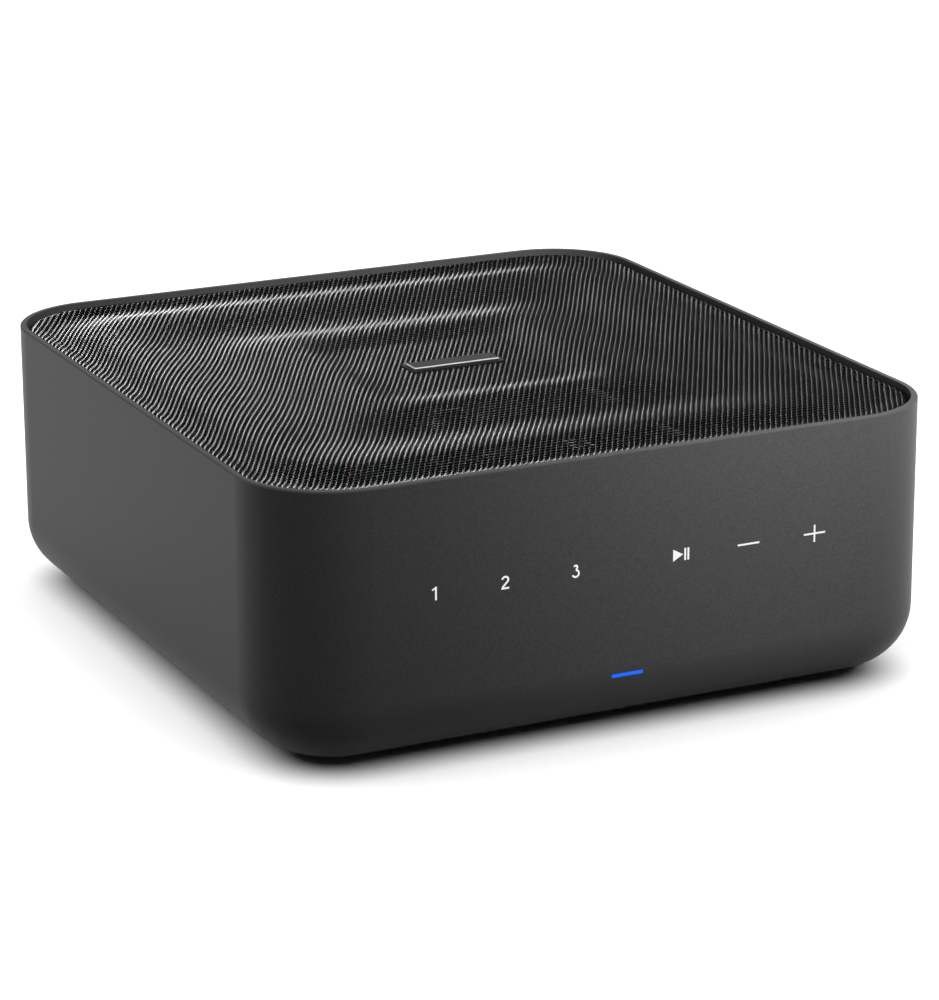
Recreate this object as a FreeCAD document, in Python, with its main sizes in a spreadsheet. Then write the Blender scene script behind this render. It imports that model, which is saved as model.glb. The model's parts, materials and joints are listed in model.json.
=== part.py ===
import FreeCAD, Part
import itertools
import math
import os
import Sketcher

# Streaming amplifier. Front towards -Y, X to the right, Z up, millimetres.
# The origin is under the middle of the whole object, on the surface it stands on.

SIZES = [
    # housing
    ("shell_width", 217.0),
    ("shell_depth", 231.0),
    ("shell_height", 83.0),
    ("terminal_reach", 11.0),
    ("foot_height", 3.0),
    ("corner_radius", 28.75),
    ("bottom_radius", 18.7),
    ("wall", 2.0),
    ("rim_bevel", 0.4),
    ("ledge_thickness", 2.0),
    ("ledge_width", 7.0),
    ("rebate_margin", 2.5),
    ("rebate_corner", 7.5),
    # base plate, feet and their screws
    ("plate_thickness", 2.0),
    ("plate_gap", 0.3),
    ("foot_radius", 9.0),
    ("foot_taper", 0.6),
    ("foot_inset", 17.0),
    ("vent_length", 34.0),
    ("vent_width", 3.0),
    ("vent_pitch", 7.0),
    ("vent_rows", 9.0),
    ("base_screw_inset", 9.0),
    ("boss_radius", 3.5),
    ("boss_rise", 8.0),
    ("screw_radius", 1.5),
    ("screw_head_radius", 2.8),
    ("screw_head_height", 1.6),
    ("small_screw_radius", 1.0),
    ("small_head_radius", 1.9),
    ("small_head_height", 1.2),
    ("screw_fit", 0.1),
    # grille, its frame and its badge
    ("rim_gap", 1.0),
    ("sheet_thickness", 0.8),
    ("centre_drop", 2.5),
    ("ridge_rise", 1.75),
    ("groove_drop", 0.8),
    ("border_drop", 0.3),
    ("edge_rise", 0.5),
    ("flat_half", 26.0),
    ("inner_ridge", 41.0),
    ("groove_line", 63.0),
    ("outer_ridge", 87.0),
    ("border_line", 99.0),
    ("edge_roll", 1.6),
    ("opening_columns", 11.0),
    ("opening_web", 4.0),
    ("opening_border", 14.0),
    ("frame_drop", 10.0),
    ("frame_thickness", 3.0),
    ("frame_width", 9.0),
    ("frame_gap", 0.3),
    ("post_width", 8.0),
    ("post_depth", 9.5),
    ("post_foot", 24.0),
    ("bracket_height", 10.0),
    ("post_spacing", 80.0),
    ("bracket_offset", 40.0),
    ("badge_length", 29.0),
    ("badge_depth", 7.0),
    ("badge_thickness", 0.7),
    ("badge_border", 1.1),
    ("badge_back", 0.4),
    ("badge_pin_radius", 0.9),
    ("badge_pin_offset", 10.0),
    ("badge_pin_length", 1.6),
    # front marks, light pipe and touch board
    ("mark_drop", 33.0),
    ("mark_height", 4.0),
    ("mark_stroke", 0.6),
    ("mark_outer", 61.3),
    ("mark_middle", 39.2),
    ("mark_inner", 17.0),
    ("plus_width", 7.2),
    ("plus_height", 5.3),
    ("guide_half", 68.0),
    ("guide_height", 16.0),
    ("guide_thickness", 2.5),
    ("light_length", 10.3),
    ("light_height", 1.3),
    ("light_level", 16.4),
    ("light_gap", 0.05),
    ("led_thickness", 0.9),
    ("led_width", 3.0),
    ("board_thickness", 1.6),
    ("tongue_half", 12.0),
    ("tongue_drop", 13.5),
    ("touch_screw_offset", 50.3),
    ("touch_boss_radius", 2.5),
    # rear window and panel
    ("window_width", 156.0),
    ("window_drop", 15.0),
    ("window_low", 20.0),
    ("window_corner", 3.0),
    ("window_wall", 2.0),
    ("panel_recess", 8.0),
    ("panel_thickness", 1.5),
    ("panel_gap", 0.3),
    ("flange_width", 5.0),
    ("flange_thickness", 2.5),
    ("panel_screw_inset", 2.6),
    ("panel_screw_spread", 50.0),
    ("port_gap", 0.3),
    ("port_proud", 0.5),
    # speaker posts
    ("post_column", -28.5),
    ("post_pitch", 19.0),
    ("post_low_inset", 11.0),
    ("post_high_inset", 16.0),
    ("stud_radius", 3.0),
    ("stud_bore", 2.0),
    ("stud_bore_depth", 20.0),
    ("stud_end_gap", 2.0),
    ("stud_tail", 8.0),
    ("lug_radius", 1.3),
    ("lug_length", 5.0),
    ("terminal_margin", 9.0),
    ("terminal_thickness", 2.5),
    ("collar_radius", 6.0),
    ("collar_height", 2.8),
    ("bush_radius", 4.6),
    ("bush_length", 2.5),
    ("nut_radius", 5.0),
    ("nut_thickness", 3.0),
    ("washer_radius", 5.6),
    ("washer_thickness", 0.8),
    ("thread_fit", 0.05),
    ("cap_radius", 6.2),
    ("cap_bevel", 0.6),
    ("cap_mouth", 2.3),
    ("cap_lip", 1.8),
    ("flute_radius", 0.7),
    ("flute_count", 16.0),
    # mains inlet
    ("inlet_x", -61.0),
    ("inlet_z", 36.0),
    ("inlet_width", 21.0),
    ("inlet_height", 12.0),
    ("inlet_depth", 18.0),
    ("inlet_flange", 1.8),
    ("inlet_flange_thickness", 2.0),
    ("socket_width", 17.0),
    ("socket_height", 8.6),
    ("socket_depth", 13.0),
    ("inlet_pin_radius", 1.2),
    ("inlet_pin_offset", 4.3),
    ("inlet_pin_length", 10.0),
    ("inlet_lug_length", 4.0),
    # boards and how they stand
    ("low_board_rise", 6.0),
    ("main_board_level", 27.4),
    ("standoff_radius", 3.0),
    ("hole_inset", 6.0),
    ("board_ledge_gap", 2.3),
    ("board_gap", 6.0),
    ("amp_left", -16.0),
    ("power_front", -90.0),
    ("power_depth", 140.0),
    ("amp_depth", 108.0),
    ("main_left", -4.0),
    ("main_front", 24.0),
    ("main_panel_gap", 2.5),
    ("main_hole_inset", 8.0),
    ("main_hole_depth", 46.0),
    ("upper_left", 26.0),
    ("upper_front", 68.0),
    ("upper_rise", 19.0),
    ("sheet_rise", 0.4),
    # main board pieces
    ("line_jack_x", 3.0),
    ("line_jack_pitch", 16.0),
    ("line_jack_rise", 7.0),
    ("line_jack_stack", 14.0),
    ("line_jack_width", 12.0),
    ("line_jack_depth", 11.0),
    ("line_jack_margin", 6.0),
    ("line_barrel_radius", 4.15),
    ("line_barrel_wall", 0.5),
    ("line_barrel_reach", 7.8),
    ("line_contact_radius", 1.7),
    ("optical_x", 32.5),
    ("optical_width", 9.8),
    ("optical_height", 10.4),
    ("optical_depth", 15.0),
    ("optical_mouth", 8.4),
    ("optical_mouth_depth", 9.5),
    ("shutter_thickness", 0.8),
    ("shutter_setback", 1.0),
    ("shutter_gap", 0.3),
    ("shutter_pin_radius", 0.45),
    ("shutter_pin_reach", 0.4),
    ("hdmi_x", 47.0),
    ("hdmi_width", 15.0),
    ("hdmi_height", 6.2),
    ("hdmi_depth", 12.0),
    ("port_wall", 0.5),
    ("tongue_thickness", 1.2),
    ("tongue_setback", 1.5),
    ("hdmi_tongue", 10.8),
    ("ethernet_x", 64.0),
    ("ethernet_width", 16.0),
    ("ethernet_height", 13.6),
    ("ethernet_depth", 21.0),
    ("ethernet_mouth_width", 11.8),
    ("ethernet_mouth_height", 7.6),
    ("ethernet_mouth_depth", 14.0),
    ("latch_width", 6.0),
    ("latch_height", 1.5),
    ("latch_reach", 7.0),
    ("net_left", 19.0),
    ("net_width", 28.0),
    ("net_setback", 6.0),
    ("net_depth", 20.0),
    ("net_height", 4.8),
    ("processor_offset", 10.4),
    ("memory_gap", 2.4),
    ("memory_depth", 5.4),
    ("converter_offset", 6.0),
    ("converter_width", 8.0),
    # upper board pieces
    ("usb_x", 65.5),
    ("usb_width", 13.2),
    ("usb_height", 5.9),
    ("usb_depth", 14.0),
    ("usb_tongue", 10.5),
    ("minijack_x", 33.5),
    ("minijack_width", 7.0),
    ("minijack_height", 6.4),
    ("minijack_depth", 15.0),
    ("minijack_barrel", 3.0),
    ("minijack_bore", 1.8),
    ("minijack_bore_depth", 14.0),
    ("connect_x", 42.0),
    ("bluetooth_x", 50.0),
    ("reset_x", 56.0),
    ("button_rise", 5.0),
    ("button_radius", 2.3),
    ("button_proud", 1.2),
    ("button_flange", 0.7),
    ("button_flange_gap", 0.3),
    ("button_stem_radius", 1.1),
    ("button_travel", 0.8),
    ("switch_width", 5.6),
    ("switch_depth", 5.0),
    ("switch_head", 2.2),
    ("reset_switch_width", 3.9),
    ("running_fit", 0.08),
    ("reset_hole_radius", 0.9),
    ("reset_radius", 0.8),
    ("support_x", 51.0),
    ("support_y", 77.0),
    ("support_width", 6.0),
    # amplifier section
    ("chip_height", 2.4),
    ("chip_width", 13.0),
    ("pad_thickness", 0.5),
    ("sink_left_inset", 11.0),
    ("sink_right_inset", 7.0),
    ("sink_front_inset", 8.0),
    ("sink_coil_gap", 2.5),
    ("sink_base", 5.0),
    ("sink_margin", 2.0),
    ("fin_height", 32.0),
    ("fin_thickness", 1.6),
    ("fin_count", 13.0),
    ("coil_width", 13.0),
    ("coil_height", 12.0),
    ("coil_pitch", 17.0),
    ("coil_inset", 12.5),
    ("coil_count", 4.0),
    ("connector_height", 8.0),
    ("connector_width", 8.0),
    ("low_connector_height", 4.0),
    ("plug_inset", 13.0),
    ("plug_depth", 6.5),
    ("speaker_plug_inset", 1.2),
    ("speaker_plug_width", 13.5),
    ("supply_plug_inset", 4.8),
    # power section
    ("transformer_width", 36.0),
    ("transformer_depth", 34.0),
    ("transformer_height", 28.0),
    ("core_depth", 20.4),
    ("core_step", 2.0),
    ("winding_width", 25.2),
    ("part_gap", 2.0),
    ("capacitor_radius", 11.0),
    ("capacitor_height", 36.0),
    ("choke_width", 20.0),
    ("choke_height", 22.0),
    ("choke_gap", 10.0),
    ("fuse_length", 20.0),
    ("fuse_radius", 2.6),
    ("fuse_lift", 0.5),
    ("fuse_offset", 35.0),
    ("fuse_cradle_width", 7.8),
    ("heat_plate_height", 34.0),
    ("heat_plate_length", 60.0),
    ("heat_plate_thickness", 3.0),
    ("heat_plate_inset", 0.5),
    # antennas and leads
    ("antenna_length", 36.0),
    ("antenna_height", 10.0),
    ("antenna_thickness", 0.8),
    ("antenna_y", 38.0),
    ("antenna_drop", 20.0),
    ("antenna_pad", 3.0),
    ("lead_radius", 1.0),
    ("lead_pitch", 2.5),
    ("lead_level", 4.0),
    ("lead_bend", 5.0),
    ("first_lead_inset", 1.2),
    ("speaker_gather", 40.0),
    ("speaker_bend", 2.5),
    ("supply_count", 4.0),
    ("supply_arch", 8.0),
    ("supply_bend", 4.0),
    ("power_plug_offset", 20.0),
    ("power_plug_inset", 14.0),
    ("coax_radius", 0.6),
    ("coax_bend", 4.8),
    ("coax_spread", 8.0),
    ("cable_radius", 1.8),
    ("cable_bend", 5.4),
    ("cable_straight", 16.0),
    ("cable_slant", 13.0),
    ("front_plug_inset", 4.0),
    ("front_plug_offset", 26.0),
    ("touch_plug_gap", 10.4),
]


class Size:
    """A length that knows its number and the formula that ties it to the sheet."""

    def __init__(self, number, formula):
        self.number = number
        self.formula = formula

    def __add__(self, other):
        other = sized(other)
        return Size(self.number + other.number, f"({self.formula} + {other.formula})")

    def __radd__(self, other):
        return sized(other) + self

    def __sub__(self, other):
        other = sized(other)
        return Size(self.number - other.number, f"({self.formula} - {other.formula})")

    def __rsub__(self, other):
        return sized(other) - self

    def __mul__(self, other):
        other = sized(other)
        return Size(self.number * other.number, f"({self.formula} * {other.formula})")

    def __rmul__(self, other):
        return sized(other) * self

    def __truediv__(self, other):
        other = sized(other)
        return Size(self.number / other.number, f"({self.formula} / {other.formula})")

    def __neg__(self):
        return Size(-self.number, f"(-{self.formula})")


def sized(value):
    return value if isinstance(value, Size) else Size(float(value), repr(float(value)))


def root(value):
    return Size(math.sqrt(value.number), f"sqrt({value.formula})")


class Sheet:
    """The driving sizes, one cell each, read back as Size values by their alias."""

    def __init__(self, doc, rows):
        self.cells = doc.addObject("Spreadsheet::Sheet", "sizes")
        for row, (alias, value) in enumerate(rows, start=1):
            self.cells.set(f"A{row}", alias)
            self.cells.set(f"B{row}", str(value))
            self.cells.setAlias(f"B{row}", alias)
        doc.recompute()

    def __getattr__(self, alias):
        return Size(float(self.cells.get(alias)), f"sizes.{alias}")


doc = FreeCAD.newDocument("streaming_amplifier")
S = Sheet(doc, SIZES)
nodes = []

X_AXIS = FreeCAD.Vector(1, 0, 0)
Y_AXIS = FreeCAD.Vector(0, 1, 0)
Z_AXIS = FreeCAD.Vector(0, 0, 1)


# Helpers for simple forms


def bind(piece, name, size):
    piece.setExpression(name, sized(size).formula)


def place(piece, x, y, z):
    for letter, size in zip("xyz", (x, y, z)):
        bind(piece, f"Placement.Base.{letter}", size)


def span(centre, width):
    return centre - width / 2, centre + width / 2


def block(name, x, y, z):
    """A box between a low and a high value on each axis."""
    piece = doc.addObject("Part::Box", name)
    for dimension, (low, high) in zip(("Length", "Width", "Height"), (x, y, z)):
        bind(piece, dimension, high - low)
    place(piece, x[0], y[0], z[0])
    return piece


def rod(name, radius, x, y, z):
    """A cylinder along the one axis that is given as a low and a high value."""
    piece = doc.addObject("Part::Cylinder", name)
    ends = [value for value in (x, y, z) if isinstance(value, tuple)][0]
    axis = [X_AXIS, Y_AXIS, Z_AXIS][[isinstance(value, tuple) for value in (x, y, z)].index(True)]
    bind(piece, "Radius", radius)
    bind(piece, "Height", ends[1] - ends[0])
    piece.Placement = FreeCAD.Placement(FreeCAD.Vector(), FreeCAD.Rotation(Z_AXIS, axis))
    place(piece, *[value[0] if isinstance(value, tuple) else value for value in (x, y, z)])
    return piece


def join(name, *pieces):
    if len(pieces) == 1:
        return pieces[0]
    whole = doc.addObject("Part::MultiFuse", name)
    whole.Shapes = list(pieces)
    return whole


def carve(name, base, *tools):
    result = doc.addObject("Part::Cut", name)
    result.Base = base
    result.Tool = join(f"{name}_cuts", *tools)
    return result


def group(name, *pieces):
    several = doc.addObject("Part::Compound", name)
    several.Links = list(pieces)
    return several


def solid_feature(name, shape):
    piece = doc.addObject("Part::Feature", name)
    piece.Shape = shape
    piece.Placement = FreeCAD.Placement()
    return piece


def keep(piece, label):
    piece.Label = label
    nodes.append(piece)
    return piece


def screw(name, x, y, z, shank, head, head_height):
    """A screw along one axis: that axis holds the shank's tip and the head's seat."""
    values = (x, y, z)
    along = [isinstance(value, tuple) for value in values].index(True)
    tip, seat = values[along]
    outward = seat.number > tip.number
    head_ends = (seat, seat + head_height) if outward else (seat - head_height, seat)
    shank_ends = (tip, seat) if outward else (seat, tip)
    head_place = [head_ends if index == along else value for index, value in enumerate(values)]
    shank_place = [shank_ends if index == along else value for index, value in enumerate(values)]
    return join(name, rod(f"{name}_shank", shank, *shank_place), rod(f"{name}_head", head, *head_place))


# Helpers for sketched bodies


def origin_part(body, role):
    return [item for item in body.Origin.OriginFeatures if item.Role == role][0]


def sketch_on(body, name, role, offset):
    sketch = body.newObject("Sketcher::SketchObject", name)
    sketch.AttachmentSupport = [(origin_part(body, role), "")]
    sketch.MapMode = "FlatFace"
    bind(sketch, "AttachmentOffset.Base.z", offset)
    return sketch


def hold(sketch, kind, *where):
    """Adds one constraint whose last value is a Size, and ties it to the sheet."""
    *geometry, size = where
    index = sketch.addConstraint(Sketcher.Constraint(kind, *geometry, sized(size).number))
    sketch.setExpression(f"Constraints[{index}]", sized(size).formula)


def rounded_outline(sketch, across, along, corner):
    """A rectangle with round corners between two values on each sketch axis."""
    left, right = [sized(value) for value in across]
    low, high = [sized(value) for value in along]
    r = corner.number
    x0, x1, y0, y1 = left.number, right.number, low.number, high.number
    runs = [
        ((x0 + r, y0), (x1 - r, y0)),
        ((x1, y0 + r), (x1, y1 - r)),
        ((x1 - r, y1), (x0 + r, y1)),
        ((x0, y1 - r), (x0, y0 + r)),
    ]
    centres = [(x1 - r, y0 + r, -90), (x1 - r, y1 - r, 0), (x0 + r, y1 - r, 90), (x0 + r, y0 + r, 180)]
    for (ax, ay), (bx, by) in runs:
        sketch.addGeometry(Part.LineSegment(FreeCAD.Vector(ax, ay), FreeCAD.Vector(bx, by)))
    for cx, cy, start in centres:
        circle = Part.Circle(FreeCAD.Vector(cx, cy), Z_AXIS, r)
        sketch.addGeometry(Part.ArcOfCircle(circle, math.radians(start), math.radians(start + 90)))
    for side in range(4):
        arc = 4 + side
        sketch.addConstraint(Sketcher.Constraint("Tangent", side, 2, arc, 1))
        sketch.addConstraint(Sketcher.Constraint("Tangent", arc, 2, (side + 1) % 4, 1))
        sketch.addConstraint(Sketcher.Constraint("Vertical" if side % 2 else "Horizontal", side))
    for arc in (5, 6, 7):
        sketch.addConstraint(Sketcher.Constraint("Equal", 4, arc))
    hold(sketch, "Radius", 4, corner)
    hold(sketch, "DistanceX", -1, 1, 3, 1, left)
    hold(sketch, "DistanceX", -1, 1, 1, 1, right)
    hold(sketch, "DistanceY", -1, 1, 0, 1, low)
    hold(sketch, "DistanceY", -1, 1, 2, 1, high)


def closed_outline(sketch, points):
    """A polygon whose points are held by their distances from the origin."""
    count = len(points)
    numbers = [(sized(px).number, sized(py).number) for px, py in points]
    for index in range(count):
        start, end = numbers[index], numbers[(index + 1) % count]
        sketch.addGeometry(Part.LineSegment(FreeCAD.Vector(*start), FreeCAD.Vector(*end)))
    for index in range(count):
        sketch.addConstraint(Sketcher.Constraint("Coincident", index, 2, (index + 1) % count, 1))
    for index, (px, py) in enumerate(points):
        hold(sketch, "DistanceX", -1, 1, index, 1, px)
        hold(sketch, "DistanceY", -1, 1, index, 1, py)


def pad(body, sketch, length, reverse=False):
    feature = body.newObject("PartDesign::Pad", f"{sketch.Name}_pad")
    feature.Profile = sketch
    feature.Reversed = reverse
    bind(feature, "Length", length)
    sketch.Visibility = False
    return feature


def pocket(body, sketch, length, reverse=False):
    feature = body.newObject("PartDesign::Pocket", f"{sketch.Name}_pocket")
    feature.Profile = sketch
    feature.Reversed = reverse
    bind(feature, "Length", length)
    return feature


def soften(body, kind, base, radius, chosen):
    """A fillet or chamfer on the edges that a test picks."""
    doc.recompute()
    edges = [f"Edge{number}" for number, edge in enumerate(base.Shape.Edges, start=1) if chosen(edge)]
    feature = body.newObject(f"PartDesign::{kind}", f"{base.Name}_{kind.lower()}")
    feature.Base = (base, edges)
    bind(feature, "Radius" if kind == "Fillet" else "Size", radius)
    return feature


def at_level(level):
    """Picks the edges that lie flat at one height."""

    def chosen(edge):
        box = edge.BoundBox
        return abs(box.ZMin - level) < 1e-6 and abs(box.ZMax - level) < 1e-6

    return chosen


def rounded_plate(name, x, y, z, corner):
    body = doc.addObject("PartDesign::Body", name)
    sketch = sketch_on(body, f"{name}_outline", "XY_Plane", z[0])
    rounded_outline(sketch, x, y, corner)
    pad(body, sketch, z[1] - z[0])
    return body


def upright_plate(name, x, y, z, corner):
    """A plate with round corners that stands across Y."""
    body = doc.addObject("PartDesign::Body", name)
    sketch = sketch_on(body, f"{name}_outline", "XZ_Plane", -y[1])
    rounded_outline(sketch, x, z, corner)
    pad(body, sketch, y[1] - y[0])
    return body


# Helpers for leads


def smooth_path(points, bend):
    """Straight runs joined by tangent arcs of one radius."""
    corners = [FreeCAD.Vector(*point) for point in points]
    edges = []
    start = corners[0]
    for before, corner, after in zip(corners, corners[1:], corners[2:]):
        arriving = (corner - before).normalize()
        leaving = (after - corner).normalize()
        turn = arriving.getAngle(leaving)
        setback = bend * math.tan(turn / 2)
        first = corner - arriving * setback
        last = corner + leaving * setback
        inward = (leaving - arriving).normalize()
        middle = corner + inward * (bend / math.cos(turn / 2) - bend)
        edges.append(Part.LineSegment(start, first).toShape())
        edges.append(Part.Arc(first, middle, last).toShape())
        start = last
    edges.append(Part.LineSegment(start, corners[-1]).toShape())
    return Part.Wire(edges)


def lead(points, radius, bend):
    """A round lead along a route of corner points."""
    route = smooth_path([[sized(value).number for value in point] for point in points], bend.number)
    first = route.Edges[0]
    start = first.valueAt(first.FirstParameter)
    heading = first.tangentAt(first.FirstParameter)
    section = Part.Wire([Part.makeCircle(radius.number, start, heading)])
    return route.makePipeShell([section], True, False)


# Main levels and faces. A round end's radius is a little under half its slot's width.

ROUND_END = 0.46
front = -(S.shell_depth + S.terminal_reach) / 2
back = front + S.shell_depth
middle = (front + back) / 2
side = S.shell_width / 2
low = S.foot_height
rim = low + S.shell_height
inner_side = side - S.wall
inner_front = front + S.wall
inner_back = back - S.wall
plate_top = low + S.plate_thickness
ledge_top = plate_top + S.ledge_thickness
rebate_half_x = side - S.bottom_radius - S.rebate_margin
rebate_half_y = S.shell_depth / 2 - S.bottom_radius - S.rebate_margin
window_low = low + S.window_low
window_high = rim - S.window_drop
window_half = S.window_width / 2
panel_face = back - S.panel_recess
panel_back = panel_face - S.panel_thickness
port_face = panel_face + S.port_proud
low_board = plate_top + S.low_board_rise
low_board_top = low_board + S.board_thickness
main_top = S.main_board_level + S.board_thickness
upper_level = main_top + S.upper_rise
upper_top = upper_level + S.board_thickness
mark_z = rim - S.mark_drop
light_z = low + S.light_level
light_range = span(light_z, S.light_height)
guide_back = inner_front + S.guide_thickness
touch_back = guide_back + S.board_thickness
grille_half_x = inner_side - S.rim_gap
grille_half_y = S.shell_depth / 2 - S.wall - S.rim_gap
grille_corner = S.corner_radius - S.wall - S.rim_gap
grille_level = rim - S.centre_drop
frame_seat = rim - S.frame_drop
frame_top = frame_seat + S.frame_thickness
antenna_z = rim - S.antenna_drop
port_back = panel_back - S.main_panel_gap

post_x = (S.post_column - S.post_pitch / 2, S.post_column + S.post_pitch / 2)
post_z = (window_low + S.post_low_inset, window_high - S.post_high_inset)
POST_PLACES = {
    "right_plus": (post_x[0], post_z[0]),
    "right_minus": (post_x[1], post_z[0]),
    "left_plus": (post_x[0], post_z[1]),
    "left_minus": (post_x[1], post_z[1]),
}
SIDE_POSTS = [(sign, middle + step * S.post_spacing) for sign in (-1, 1) for step in (-1, 0, 1)]
BRACKETS = [-S.bracket_offset, S.bracket_offset]
frame_screw_x = inner_side - S.frame_gap - S.frame_width / 2
frame_screw_inset = S.wall + S.frame_gap + S.frame_width / 2
FRAME_SCREWS = (
    [(sign * frame_screw_x, y) for sign, y in SIDE_POSTS]
    + [(x, front + frame_screw_inset) for x in BRACKETS]
    + [(x, back - frame_screw_inset) for x in BRACKETS]
)
base_screw_x = rebate_half_x - S.ledge_width / 2
base_screw_y = rebate_half_y - S.ledge_width / 2
BASE_SCREWS = [
    (sign_x * base_screw_x, middle + sign_y * (base_screw_y - S.base_screw_inset))
    for sign_x in (-1, 1)
    for sign_y in (-1, 0, 1)
]
panel_screw_z = (window_low + S.panel_screw_inset, window_high - S.panel_screw_inset)
PANEL_SCREWS = [(step * S.panel_screw_spread, z) for step in (-1, 0, 1) for z in panel_screw_z]
TOUCH_SCREWS = [-S.touch_screw_offset, S.touch_screw_offset]


# Front marks, drawn as strokes in the front face. Each share is of the marks' height or stroke.

UPPER_BOWL = 0.31
LOWER_BOWL = 0.33
FLAG_REACH = 0.45
FLAG_DROP = 0.75
FLAG_STROKE = 0.8
NECK_REACH = 0.86
NECK_DROP = 0.5
HEEL_REACH = 0.95
CURL_SPREAD = 0.3
PLAY_OFFSET = 0.66
PLAY_WIDTH = 0.83
BAR_WIDTH = 0.16
BAR_PITCH = 1.6


def stroke_prism(face_wire):
    """Turns a flat outline in the front face into a prism through the wall."""
    return Part.Face(face_wire).extrude(FreeCAD.Vector(0, S.wall.number, 0))


def front_point(x, z):
    return FreeCAD.Vector(x, front.number, z)


def line_mark(start, end, width):
    run = FreeCAD.Vector(end[0] - start[0], 0, end[1] - start[1]).normalize()
    aside = FreeCAD.Vector(-run.z, 0, run.x) * (width / 2)
    a, b = front_point(*start), front_point(*end)
    return stroke_prism(Part.makePolygon([a + aside, b + aside, b - aside, a - aside, a + aside]))


def arc_mark(centre, radius, start, end, width):
    """A round stroke about a centre, its angles in degrees from +X towards +Z."""

    def at(distance, angle):
        turned = math.radians(angle)
        return front_point(centre[0] + distance * math.cos(turned), centre[1] + distance * math.sin(turned))

    outer, inner, half = radius + width / 2, radius - width / 2, (start + end) / 2
    edges = [
        Part.Arc(at(outer, start), at(outer, half), at(outer, end)).toShape(),
        Part.LineSegment(at(outer, end), at(inner, end)).toShape(),
        Part.Arc(at(inner, end), at(inner, half), at(inner, start)).toShape(),
        Part.LineSegment(at(inner, start), at(outer, start)).toShape(),
    ]
    return stroke_prism(Part.Wire(edges))


def merged(prisms):
    whole = prisms[0]
    for prism in prisms[1:]:
        whole = whole.fuse(prism)
    return whole.removeSplitter()


def front_marks():
    """The numbers one to three, play and pause, minus and plus."""
    z, tall, line = mark_z.number, S.mark_height.number, S.mark_stroke.number
    outer, centre, inner = S.mark_outer.number, S.mark_middle.number, S.mark_inner.number
    top, bottom, half = z + tall / 2, z - tall / 2, line / 2
    bowl = tall * UPPER_BOWL
    low_bowl = tall * LOWER_BOWL
    stem = -outer + bowl / 2
    flag = (-outer - bowl * FLAG_REACH, top - bowl * FLAG_DROP)
    one = [
        line_mark((stem, bottom), (stem, top), line),
        line_mark((stem, top - half), flag, line * FLAG_STROKE),
    ]
    curve = bowl - half
    heel = (-centre - curve * HEEL_REACH, bottom + line)
    neck = (-centre + curve * NECK_REACH, top - bowl - curve * NECK_DROP)
    two = [
        arc_mark((-centre, top - bowl), curve, -35, 170, line),
        line_mark(neck, heel, line),
        line_mark((-centre - bowl, bottom + half), (-centre + bowl, bottom + half), line),
    ]
    curl = low_bowl - half
    upper = (tall / 2 - curl - half) / 2 + line * CURL_SPREAD
    three = [
        arc_mark((-inner, top - half - upper), upper, -90, 160, line),
        arc_mark((-inner, bottom + half + curl), curl, -160, 90, line),
    ]
    wide, bar = tall * PLAY_WIDTH, tall * BAR_WIDTH
    left = inner - tall * PLAY_OFFSET
    play_wire = Part.makePolygon(
        [
            front_point(left, bottom + half / 2),
            front_point(left + wide, z),
            front_point(left, top - half / 2),
            front_point(left, bottom + half / 2),
        ]
    )
    pause = left + wide + bar
    bars = [
        line_mark((x, bottom + half / 2), (x, top - half / 2), bar)
        for x in (pause, pause + bar * BAR_PITCH)
    ]
    reach, rise = S.plus_width.number / 2, S.plus_height.number / 2
    minus = line_mark((centre - reach, z), (centre + reach, z), line)
    plus = [
        line_mark((outer - reach, z), (outer + reach, z), line),
        line_mark((outer, z - rise), (outer, z + rise), line),
    ]
    return [merged(one), merged(two), merged(three), stroke_prism(play_wire), *bars, minus, merged(plus)]


MARKS = front_marks()


# Housing


def rounded_tub(name, x, y, z, corner, bottom):
    """A block with round upright corners and a round bottom edge."""
    body = doc.addObject("PartDesign::Body", name)
    outline = sketch_on(body, f"{name}_outline", "XY_Plane", z[0])
    rounded_outline(outline, x, y, corner)
    form = pad(body, outline, z[1] - z[0])
    return body, soften(body, "Fillet", form, bottom, at_level(z[0].number))


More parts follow.
